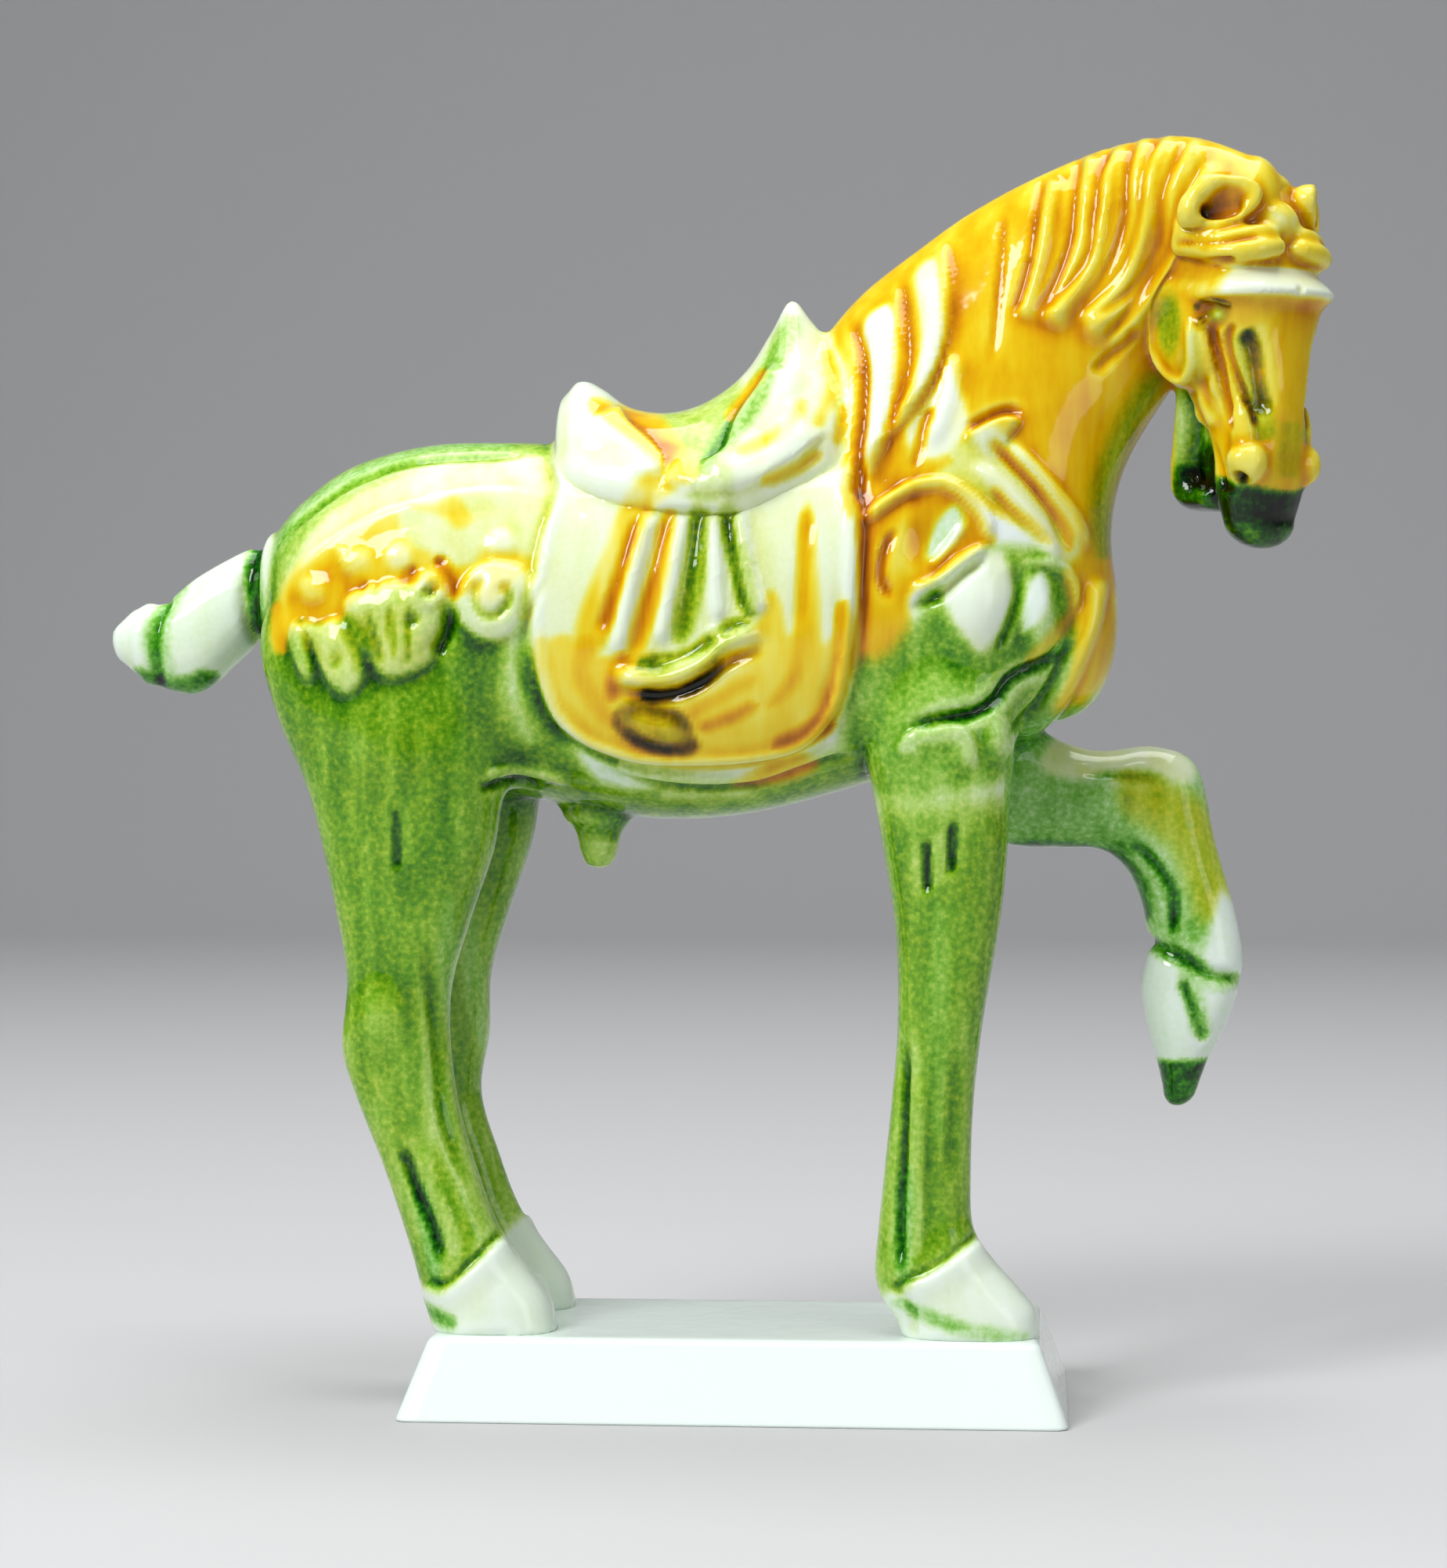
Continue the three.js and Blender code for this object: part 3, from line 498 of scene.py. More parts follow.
def normals_of(points, triangles):
    """Each point's normal: the sum of its triangles' area normals, at length one."""
    p, q, r = (points[triangles[:, i]] for i in range(3))
    face = np.cross(q - p, r - p)
    total = np.stack([
        sum(np.bincount(triangles[:, corner], face[:, axis], len(points)) for corner in range(3))
        for axis in range(3)
    ], -1)
    return total / np.maximum(np.linalg.norm(total, axis=1, keepdims=True), 1e-12)


def largest_shell(points, triangles):
    """Drops any bubble shut inside the skin: labels spread along edges until they settle."""
    label = np.arange(len(points))
    while True:
        least = label[triangles].min(axis=1)
        new = label.copy()
        for corner in range(3):
            np.minimum.at(new, triangles[:, corner], least)
        new = new[new]
        if np.array_equal(new, label):
            break
        label = new
    kept = np.bincount(label).argmax()
    inside = label == kept
    index = np.cumsum(inside) - 1
    return points[inside], index[triangles[inside[triangles[:, 0]]]]


def step_up(value, low, high):
    """0 below low, 1 above high, and a smooth rise between."""
    t = np.clip((value - low) / (high - low), 0, 1)
    return t * t * (3 - 2 * t)



# Curves in the side view
def path_places(path, x, z, per_span=5):
    """For each point: its distance to the smooth curve through `path`, positive on the left
    of the way the curve runs, and its share of the way along, from the nearest segment."""
    line = smooth_rows(path, per_span)
    start, run = line[:-1], np.diff(line, axis=0)
    length = np.linalg.norm(run, axis=1)
    dx, dz = x[:, None] - start[:, 0], z[:, None] - start[:, 1]
    t = np.clip((dx * run[:, 0] + dz * run[:, 1]) / length**2, 0, 1)
    away = np.hypot(dx - t * run[:, 0], dz - t * run[:, 1])
    i = away.argmin(axis=1)
    row = np.arange(len(x))
    left = run[i, 0] * dz[row, i] - run[i, 1] * dx[row, i]
    walked = np.concatenate([[0], np.cumsum(length)])
    share = (walked[i] + t[row, i] * length[i]) / walked[-1]
    return away[row, i] * np.where(left < 0, -1, 1), share


def outline_inside(outline, x, z, per_span=4):
    """For each point: its distance to a smooth closed outline, positive inside, where a ray
    to +X crosses the outline an odd number of times."""
    ring = np.array([*outline[-2:], *outline, *outline[:2]], float)
    line = smooth_rows(ring, per_span)[2 * per_span:-per_span]
    start, end = line[:-1], line[1:]
    run = end - start
    length = np.maximum(np.linalg.norm(run, axis=1), 1e-9)
    dx, dz = x[:, None] - start[:, 0], z[:, None] - start[:, 1]
    t = np.clip((dx * run[:, 0] + dz * run[:, 1]) / length**2, 0, 1)
    away = np.hypot(dx - t * run[:, 0], dz - t * run[:, 1]).min(axis=1)
    crosses = (start[:, 1] > z[:, None]) != (end[:, 1] > z[:, None])
    with np.errstate(divide="ignore", invalid="ignore"):
        meets = start[:, 0] + run[:, 0] * (z[:, None] - start[:, 1]) / run[:, 1]
    odd = (crosses & (meets > x[:, None])).sum(axis=1) % 2 == 1
    return np.where(odd, away, -away)


class Relief:
    """Heights in mm to raise a skin along its normals, gathered one feature at a time.
    A feature is drawn in the side view on one flank, on both, or right through."""

    def __init__(self, points, normals):
        self.points, self.normals = points, normals
        self.height = np.zeros(len(points))

    def around(self, path, reach, flank):
        """Points within reach of a path's box, and how squarely they face the flank."""
        low, high = np.min(path, axis=0) - reach, np.max(path, axis=0) + reach
        x, z = self.points[:, 0], self.points[:, 2]
        inside = (x > low[0]) & (x < high[0]) & (z > low[1]) & (z < high[1])
        if flank is not None:
            inside &= self.points[:, 1] * flank > -4
            inside &= self.normals[:, 1] * flank > 0
        chosen = np.flatnonzero(inside)
        if flank is None:
            return chosen, np.ones(len(chosen))
        return chosen, step_up(self.normals[chosen, 1] * flank, 0.05, 0.35)

    def line(self, path, half, rise, flank=None, ends=0.2):
        """A ridge or groove: rise (1 - (d / half)^2)^2, less towards the path's ends."""
        chosen, facing = self.around(path, half, flank)
        away, share = path_places(path, self.points[chosen, 0], self.points[chosen, 2])
        profile = np.clip(1 - (away / half) ** 2, 0, 1) ** 2
        fade = step_up(share, -0.01, ends) * step_up(1 - share, -0.01, ends) if ends else 1
        self.height[chosen] += rise * profile * fade * facing

    def ledge(self, path, rise, fade, edge=0.4, flank=None, ends=0.15):
        """An edge of cloth or hair: a step across the path, up on its left, that falls back
        to nothing `fade` mm away."""
        chosen, facing = self.around(path, fade, flank)
        away, share = path_places(path, self.points[chosen, 0], self.points[chosen, 2])
        profile = step_up(away, -edge, edge) * (1 - step_up(away, edge, fade))
        taper = step_up(share, 0, ends) * step_up(1 - share, 0, ends)
        self.height[chosen] += rise * profile * taper * facing

    def dome(self, x, z, half, high, rise, flank=None, slope=0.0):
        """A swelling or hollow: rise (1 - q^2)^2 in an oval q = 1 turned by slope degrees."""
        reach = max(half, high)
        chosen, facing = self.around([(x, z)], reach, flank)
        dx, dz = self.points[chosen, 0] - x, self.points[chosen, 2] - z
        turn = math.radians(slope)
        along = dx * math.cos(turn) + dz * math.sin(turn)
        across = dz * math.cos(turn) - dx * math.sin(turn)
        q = (along / half) ** 2 + (across / high) ** 2
        self.height[chosen] += rise * np.clip(1 - q, 0, 1) ** 2 * facing

    def plate(self, outline, rise, flank=None, edge=0.45, crown=0.0, lip=0.0, until=(900, 901)):
        """A laid-on shape: a step at its outline, a crown that grows inwards over 3 mm, and
        a lip along its edge with a groove outside it. It fades between the heights `until`."""
        chosen, facing = self.around(outline, 3, flank)
        inside = outline_inside(outline, self.points[chosen, 0], self.points[chosen, 2])
        profile = rise * step_up(inside, -edge, edge) + crown * step_up(inside, 0, 3)
        rim = np.exp(-((inside - 0.8) / 0.5) ** 2) - np.exp(-((inside + 0.9) / 0.5) ** 2)
        fade = 1 - step_up(self.points[chosen, 2], *until)
        self.height[chosen] += (profile + lip * rim) * facing * fade

    def raised(self):
        return self.points + self.normals * self.height[:, None]


# The mane's partings from the crest down, where each lock lies over the one behind it
MANE_PARTINGS = [
    [(35.8, 143.4), (34.9, 138.7), (34.3, 134.3), (33.3, 129.9), (31.9, 126.1)],
    [(40, 146.2), (39.3, 140.2), (38.7, 134.9), (36.8, 129.9), (34.3, 125.8)],
    [(43.8, 147.4), (42.1, 142.7), (41.4, 137.9), (40.1, 132.1), (34.8, 125.5)],
    [(46.4, 148.2), (45.1, 142.3), (44.8, 137), (42.4, 130.8), (38.4, 125.8)],
    [(49.4, 148.4), (47.1, 142.6), (46.4, 136.8), (43.8, 130.4), (38.5, 125.2)],
    [(52.6, 147.6), (49.4, 141), (48.7, 134.5), (45.8, 129.6), (39, 124.6)],
    [(54.4, 144.6), (51.2, 139), (49.9, 133.5), (46.2, 128.2), (41.8, 122.9)],
]


def shape_mane(relief):
    """Locks that lie like shingles, with a fine groove down the middle of each."""
    for parting in MANE_PARTINGS:
        relief.ledge(parting, 0.9, 3.6, edge=0.7, ends=0.1)
        relief.line(parting, 1.1, -0.5, ends=0.12)
    for one, other in zip(MANE_PARTINGS[:-1], MANE_PARTINGS[1:]):
        middle = (np.array(one) + np.array(other)) / 2
        relief.line(middle, 0.8, -0.22, ends=0.3)
    relief.line([(46.2, 125.4), (44, 122.9), (40.9, 119.8)], 1.1, -0.6)
    relief.line([(30.8, 139.4), (30.5, 133.1), (30, 127.4), (29.4, 120.5)], 0.9, -0.35)
    relief.line([(34, 134), (32.2, 126.8)], 0.8, -0.3)


FLAP = [
    (-21.4, 116), (-20.2, 107.1), (-21.9, 100), (-22.9, 91), (-21.3, 82), (-17.7, 78),
    (-12.2, 75.9), (-6.8, 75.3), (1.3, 75.6), (7.5, 77.1), (11.1, 80.2), (13.1, 84.7),
    (14.2, 94.5), (14.4, 103.4), (13.6, 107), (14.5, 112.7), (14.2, 117.8), (12, 123.6), (8, 127),
]


def shape_saddle_cloths(relief, flank):
    """The flap with its lip and under-cloth, the saddle's skirts, and the pleated cloth
    with a rolled hem and a pool of glaze below it."""
    relief.plate(FLAP, 1.2, flank, lip=0.3, until=(106, 112))
    under = [(-16, 75.4), (-10.9, 73.8), (-4.3, 73), (2.3, 73.4), (7.2, 75), (12, 76.6), (15, 76)]
    relief.ledge(under, 0.6, 2.6, flank=flank)
    relief.line([(x, z - 0.7) for x, z in under], 0.7, -0.35, flank)
    seat_lip = [(-8.6, 107.5), (-3.8, 106.4), (0.6, 106.7), (4.6, 108.7), (8.2, 111), (11, 113.6)]
    relief.ledge(seat_lip, 1, 5, flank=flank)
    cantle_edge = [(-14.6, 117.4), (-12.5, 114.4), (-9.4, 111.8), (-7.9, 109.6), (-8, 107)]
    relief.ledge(cantle_edge[::-1], 1, 6, flank=flank)
    seat_crease = [(4.2, 122.1), (2.9, 119.2), (0, 114.7), (-1.2, 111.1), (-4, 108.4)]
    relief.ledge(seat_crease, 1.1, 5, edge=0.7, flank=flank)
    relief.line(seat_crease, 1, -0.5, flank)
    relief.line([(10.2, 110.9), (7.6, 109), (3.4, 107.2)], 0.7, -0.3, flank)
    relief.ledge([(-9.4, 104.8), (-4, 104.9), (0.6, 104.6)], 0.6, 2.5, flank=flank)
    for x_top, x_foot, z_foot in ((-9.2, -13, 87.6), (-5.4, -8, 88.6), (-2, -1.4, 91), (0.8, 3.6, 92)):
        relief.line([(x_top, 103.6), ((x_top + x_foot) / 2, 96.5), (x_foot, z_foot)], 1.35, 1.1, flank, 0.12)
    for x_top, x_foot, z_foot in ((-10.8, -15, 90), (-7.2, -10.8, 87.6), (-3.7, -5.4, 89), (-0.4, 1.4, 92.6)):
        relief.line([(x_top, 103.4), ((x_top + x_foot) / 2, 96.5), (x_foot, z_foot)], 0.9, -0.5, flank, 0.12)
    rolled_hem = [(-14, 85.8), (-10.8, 85.2), (-7.2, 85.2), (-3.2, 86.8), (-0.4, 89), (4, 90.4)]
    relief.line(rolled_hem, 1.7, 1.5, flank, 0.15)
    relief.line([(x + 0.4, z - 2) for x, z in rolled_hem], 1.1, -0.7, flank)
    relief.dome(-1.6, 90.4, 1.6, 1.4, 0.9, flank)
    relief.dome(-8.4, 79.6, 5, 2.3, 0.9, flank, -12)
    relief.line([(8.6, 104), (8.3, 98), (7.6, 90)], 1.4, -0.3, flank)
    relief.line([(12.2, 96), (12, 88), (10, 81)], 1.2, -0.3, flank)


def shape_collar(relief, flank):
    """Folds of cloth round the neck's base, drawn together at the flap, and the scarf that
    crosses down to the chest from a small lip."""
    relief.line([(16, 128.6), (16.9, 120.5), (16.5, 114), (15.4, 108)], 2, 1, flank)
    relief.line([(21.6, 132.6), (22.8, 125.2), (21.6, 119), (18.4, 112.8)], 1.9, 0.9, flank)
    relief.line([(12.8, 127.7), (14.4, 123.3), (15, 117.5), (14.4, 107), (14.6, 103.4)], 1.2, -0.9, flank)
    relief.line([(19, 132.1), (19.9, 122.7), (19.4, 118), (17, 111)], 1.1, -0.6, flank)
    collar_edge = [(24, 136.6), (24.7, 128.3), (24, 122.1), (21.6, 117), (16.8, 110.6), (15.4, 105)]
    relief.ledge(collar_edge[::-1], 0.8, 3.6, flank=flank)
    relief.line([(25.2, 122.6), (24.6, 117.3), (22.4, 111.1)], 1.7, 0.6, flank)
    relief.line([(22.6, 116.6), (21.6, 113), (20.6, 108.6)], 0.9, -0.4, flank)
    lip = [(26.6, 112.5), (29.3, 114.1), (31.5, 114.7), (33, 113.9)]
    relief.ledge(lip[::-1], 1.3, 4.5, edge=0.35, flank=flank)
    relief.line([(x, z + 0.9) for x, z in lip], 0.9, -0.8, flank)
    relief.line([(31, 112), (35, 107.9), (38.6, 103.6), (40.4, 99.4)], 1.3, 0.8, flank)
    relief.line([(28.8, 112.2), (33.1, 108), (36, 104.3), (38.4, 99)], 0.9, -0.6, flank)
    relief.line([(27.2, 109.9), (31.4, 106), (35, 101.6), (37.4, 97.6)], 1.5, 0.8, flank)
    relief.line([(28.8, 106.6), (32, 103.6), (36.6, 99.4)], 0.8, -0.5, flank)


def shape_shoulder(relief, flank):
    """A curled opening in the cloth, two swells of muscle below it, and the deep crease
    over the foreleg."""
    top = [(14.8, 102.6), (17.2, 104.6), (20.5, 106.7), (23.7, 107.2), (26.4, 106), (28.6, 103.6), (29.5, 100.2)]
    relief.line(top, 1.1, 1.1, flank, 0.12)
    relief.line([(29.3, 100.3), (26, 98.2), (23.2, 96), (20, 94.8)], 1.1, 1.1, flank)
    relief.line([(29, 98.6), (26.2, 96.6), (23.6, 94.3), (20, 92.9)], 0.9, -0.9, flank)
    relief.line([(18.6, 102.2), (17.4, 99.2), (17.1, 96.3), (18.4, 93.6)], 0.8, -0.7, flank)
    relief.dome(22.4, 100.4, 3.8, 4.4, -0.9, flank)
    relief.line([(26.6, 103), (25, 100.4), (22.6, 97.6)], 0.8, 0.5, flank)
    relief.dome(27.9, 92.6, 5.6, 8, 1.9, flank, 0)
    relief.dome(35, 91.8, 3, 6.6, 1.4, flank, 8)
    relief.line([(31.8, 98), (32.4, 94.8), (31.2, 91), (29.6, 87.6)], 1, -0.7, flank)
    relief.line([(32.4, 98), (35.4, 98.2), (38.2, 97), (39.4, 93.4), (38.4, 89.4), (35.4, 86.6)], 0.9, 0.6, flank)
    crease = [(38.4, 89.6), (35.6, 86.9), (32, 85), (30.2, 82.6), (27.6, 81), (23.9, 80.3), (19.6, 79)]
    relief.line(crease, 1.3, -1.3, flank)


def shape_chest(relief):
    """A strap that hangs round the chest."""
    strap = [(42, 97), (41, 91.6), (39.4, 87.2), (37.6, 83.2), (35, 80), (32, 77.4)]
    relief.line(strap, 1.5, 0.8, ends=0.1)
    relief.line([(x - 1.8, z + 0.4) for x, z in strap], 0.8, -0.6)


def shape_rump(relief, flank):
    """Ornaments of the crupper: a leaf, a lobe, a fan with ribs and a curl, and a shell."""
    relief.plate([(-51.3, 89.5), (-50.8, 91.6), (-49.6, 90.8), (-48.7, 88), (-48.5, 85), (-50, 86)],
                 0.6, flank, crown=0.4)
    relief.plate([(-49.6, 91.2), (-47.7, 91), (-45.8, 91.8), (-44, 91.4), (-42.4, 89.4), (-41.9, 87),
                  (-42.4, 84.6), (-44, 83.2), (-45.8, 84), (-47.3, 86.2), (-48.5, 89.2)],
                 0.8, flank, crown=0.7)
    relief.dome(-45, 87, 1.4, 2, -0.4, flank)
    relief.plate([(-44.3, 92), (-44.4, 94), (-42.1, 95.4), (-38.7, 96), (-35.8, 95.2), (-33.2, 92.6),
                  (-32.9, 91), (-33.6, 88.8), (-34.8, 86.8), (-36.6, 85.6), (-38.6, 85), (-40.3, 85.4),
                  (-41.7, 87.2), (-43, 90)], 0.9, flank, crown=0.8)
    for x_top, x_foot in ((-41.8, -39.8), (-39.2, -38.6), (-36.8, -37.2)):
        relief.line([(x_top, 93.6), ((x_top + x_foot) / 2, 90), (x_foot, 86.4)], 0.6, -0.4, flank)
    relief.dome(-34.8, 94.9, 3, 3, 1.2, flank)
    relief.dome(-34.6, 94.9, 1.2, 1.2, -1.7, flank)
    relief.dome(-36.4, 91.6, 0.9, 1.2, -0.7, flank)
    relief.plate([(-31.4, 94.8), (-31.4, 92.1), (-29.9, 90), (-27.8, 89.2), (-25.6, 90), (-23.8, 92),
                  (-22.4, 95), (-24, 97.6), (-27.4, 98.4), (-30, 97.2)], 0.9, flank, crown=0.7)
    relief.line([(-28.8, 96.4), (-29.5, 94.3), (-28.5, 92.4), (-26.6, 92.4), (-25.5, 94.3), (-26.6, 95.9)],
                0.9, -0.8, flank, 0.1)
    relief.line([(-32.2, 93), (-32.8, 90.4), (-34.4, 87.6)], 1.3, -1.1, flank)
    for x, z in ((-42.4, 95.3), (-40.7, 95.5), (-36.8, 97.4), (-33.6, 98.4)):
        relief.dome(x, z, 0.9, 0.8, -0.6, flank)
    for x, z, half in ((-48.6, 95.4, 2.6), (-43.6, 98.6, 2.8), (-38.4, 99, 2.6), (-26.6, 100.4, 2.6)):
        relief.dome(x, z, half, half * 0.9, 0.5, flank)
    relief.line([(-45.4, 100.4), (-44.8, 98.4), (-43.4, 97.4)], 0.6, 0.4, flank)
    relief.ledge([(-52.4, 95.6), (-48.5, 99.9), (-42.1, 103.8), (-37, 105.6), (-30, 107), (-22.4, 107)][::-1],
                 0.35, 3, flank=flank)
    relief.line([(-21.2, 97), (-22.6, 93.5), (-23.9, 90.9), (-24.4, 87), (-23.4, 82)], 0.9, -0.5, flank)


def shape_back(relief):
    """A seam along the back, and the tail's root."""
    relief.line([(-53.6, 101), (-48.6, 105.2), (-43.8, 108.1), (-36.6, 110.3), (-24.2, 110.9)], 0.8, -0.4)
    relief.line([(-57.6, 90), (-58.4, 95), (-57.4, 101)], 1.2, -0.7, ends=0)
    relief.line([(-68.2, 94), (-69.2, 90), (-69, 84.6)], 0.8, -0.6, ends=0)
    relief.line([(-70.6, 94), (-71.4, 90), (-70.8, 85)], 1.3, 0.4, ends=0)


def shape_legs(relief):
    """Sinews, notches and the hooves' upper edges."""
    hoof = [(18.2, 14.6), (20, 16), (22.4, 17), (25, 18.6), (28.6, 21.2), (31, 22)]
    relief.ledge(hoof[::-1], 0.5, 4, edge=0.3, flank=NEAR, ends=0.05)
    relief.line(hoof, 0.9, -0.5, NEAR, 0.05)
    relief.line([(19.7, 44), (19.4, 31.8), (19.1, 24), (19.3, 16.4)], 1, -0.9, NEAR, 0.15)
    relief.line([(21.4, 40), (21.3, 30), (21.2, 22), (21, 18)], 1, 0.5, NEAR, 0.2)
    relief.line([(25.8, 44), (25.2, 34), (24.8, 26)], 1.4, -0.25, NEAR, 0.3)
    relief.line([(19.3, 14.6), (20.4, 12.6), (20.6, 10)], 0.9, -0.7, NEAR, 0)
    for x, top, foot in ((25.1, 68.6, 62.6), (22.2, 66.6, 60.4)):
        relief.line([(x, top), (x, (top + foot) / 2), (x, foot)], 0.7, -0.8, NEAR, 0.15)
    lobe = [(18.4, 76), (20.4, 79), (23.6, 80), (26.4, 79.4), (27.7, 77.4), (28, 74)]
    relief.ledge(lobe[::-1], 0.6, 4, flank=NEAR)
    relief.dome(30.6, 78, 2.2, 3.6, 0.8, NEAR)
    for flank, forward in ((NEAR, 0), (FAR, 1.4)):
        hind = [(-35.6 + forward, 15.4), (-33.4 + forward, 14.8), (-30, 17.6), (-27.4, 20.2), (-24.8, 22)]
        relief.ledge(hind[::-1], 0.5, 4, edge=0.3, flank=flank, ends=0.05)
        relief.line(hind, 0.9, -0.5, flank, 0.05)
        sinew = [(-38.6 + forward, 31), (-36.9 + forward, 26), (-35.1, 22), (-33.8, 17.6)]
        relief.line(sinew, 1, -0.8, flank, 0.15)
        relief.line([(x + 2, z) for x, z in sinew], 1.1, 0.45, flank, 0.2)
        relief.line([(-35.8 + forward, 56), (-34.6 + forward, 44), (-33.6, 34), (-30.4, 25)], 1.3, -0.5, flank, 0.3)
        relief.line([(-38.7 + forward, 70.4), (-38.7 + forward, 66), (-38.7 + forward, 62.6)], 0.6, -0.5, flank)
        relief.dome(-41 + forward, 46, 4, 6, 0.5, flank)
        relief.line([(-29, 73.2), (-26, 74.6), (-22.4, 74), (-19, 73)], 1, 0.7, flank)
        relief.line([(-29.4, 72), (-26.4, 73.2), (-23, 72.6)], 0.8, -0.7, flank)
    relief.line([(46.6, 54.4), (49.3, 53), (52, 52), (55, 50.2), (59, 49.4)], 1.2, -1, ends=0.05)
    relief.line([(51.8, 49.4), (53.2, 45.8), (54.8, 42)], 1, -0.8, ends=0.1)
    relief.line([(45.2, 66.4), (48.6, 63.4), (50.9, 59.6), (50.8, 54.4)], 1, -0.5, ends=0.2)
    relief.line([(38, 74.4), (44, 73.6), (50, 73)], 1, -0.3, ends=0.3)


# The head's relief, drawn on its near side in its own frame and mirrored
class HeadMarks:
    """How strongly strokes and dabs on the head cover each point of the skin."""

    def __init__(self, points):
        at = to_head(points)
        self.at = np.column_stack([at[:, 0], -np.abs(at[:, 1]), at[:, 2]])
        self.count = len(points)

    def stroke(self, path, half, ends=0.2):
        """(1 - (d / half)^2)^2 for the distance d to a smooth curve in space."""
        low, high = np.min(path, axis=0) - half, np.max(path, axis=0) + half
        chosen = np.flatnonzero(np.all((self.at > low) & (self.at < high), axis=1))
        line = smooth_rows(path, 5)
        start, run = line[:-1], np.diff(line, axis=0)
        length = np.linalg.norm(run, axis=1)
        gap = self.at[chosen, None] - start
        t = np.clip(np.sum(gap * run, axis=2) / length**2, 0, 1)
        away = np.linalg.norm(gap - t[..., None] * run, axis=2)
        i, row = away.argmin(axis=1), np.arange(len(chosen))
        walked = np.concatenate([[0], np.cumsum(length)])
        share = (walked[i] + t[row, i] * length[i]) / walked[-1]
        taper = step_up(share, -0.01, ends) * step_up(1 - share, -0.01, ends) if ends else 1
        cover = np.zeros(self.count)
        cover[chosen] = np.clip(1 - (away[row, i] / half) ** 2, 0, 1) ** 2 * taper
        return cover

    def dab(self, centre, radii):
        """(1 - q^2)^2 in an oval body q = 1."""
        q = np.sum(((self.at - centre) / radii) ** 2, axis=1)
        return np.clip(1 - q, 0, 1) ** 2


CHEEK_LINE = [(-6.6, -7.9, 125.3), (-6.3, -7.1, 122.3), (-6.4, -6.3, 119.6), (-6.2, -5.8, 116.4), (-5.4, -5.6, 113)]
NOSE_LINE = [(-3.9, -6.5, 125.2), (-4.9, -6.7, 123.8), (-5.2, -6.3, 121.6), (-4.7, -5.5, 119.2), (-3.9, -4.6, 116.2),
             (-3.1, -4, 113)]
HOLLOW = [(-3.4, -6, 124.4), (-2.7, -5, 122.2), (-2.7, -4.4, 119.4), (-2.6, -3.8, 116.6), (-2.4, -3.2, 114.2)]
JOWL_RIM = [(-10.6, -9.2, 130.6), (-13, -9.6, 129), (-14.6, -9.2, 126.2), (-15, -8.6, 122.8), (-13.2, -8.2, 120.2),
            (-11, -8, 119), (-9.3, -8.2, 120.4), (-8.7, -8.7, 123), (-8.6, -8.9, 126)]
UPPER_LID = [(-8.4, -8.9, 126.6), (-7.2, -9, 127.3), (-5.6, -8.5, 127.4), (-3.6, -7.3, 126.7)]
LOWER_LID = [(-8.2, -8.6, 126), (-6.8, -8.4, 124.7), (-5.2, -7.8, 124.3), (-3.8, -7, 125.6)]
LIP_LINE = [(-11.6, -4.6, 117.4), (-11.2, -4.6, 113.6), (-10.9, -4.6, 110.2), (-10.6, -4.6, 107.2), (-9, -4.2, 104)]
EAR_HOLLOW = [(-9, -8.4, 137.4), (-5.4, -7.6, 138.6), (-3.2, -5.6, 139.2)]
SLOT = [(-10.4, -8.9, 131.6), (-8, -9, 131.7), (-5.4, -8.8, 131.7), (-2.9, -7.4, 131.9)]


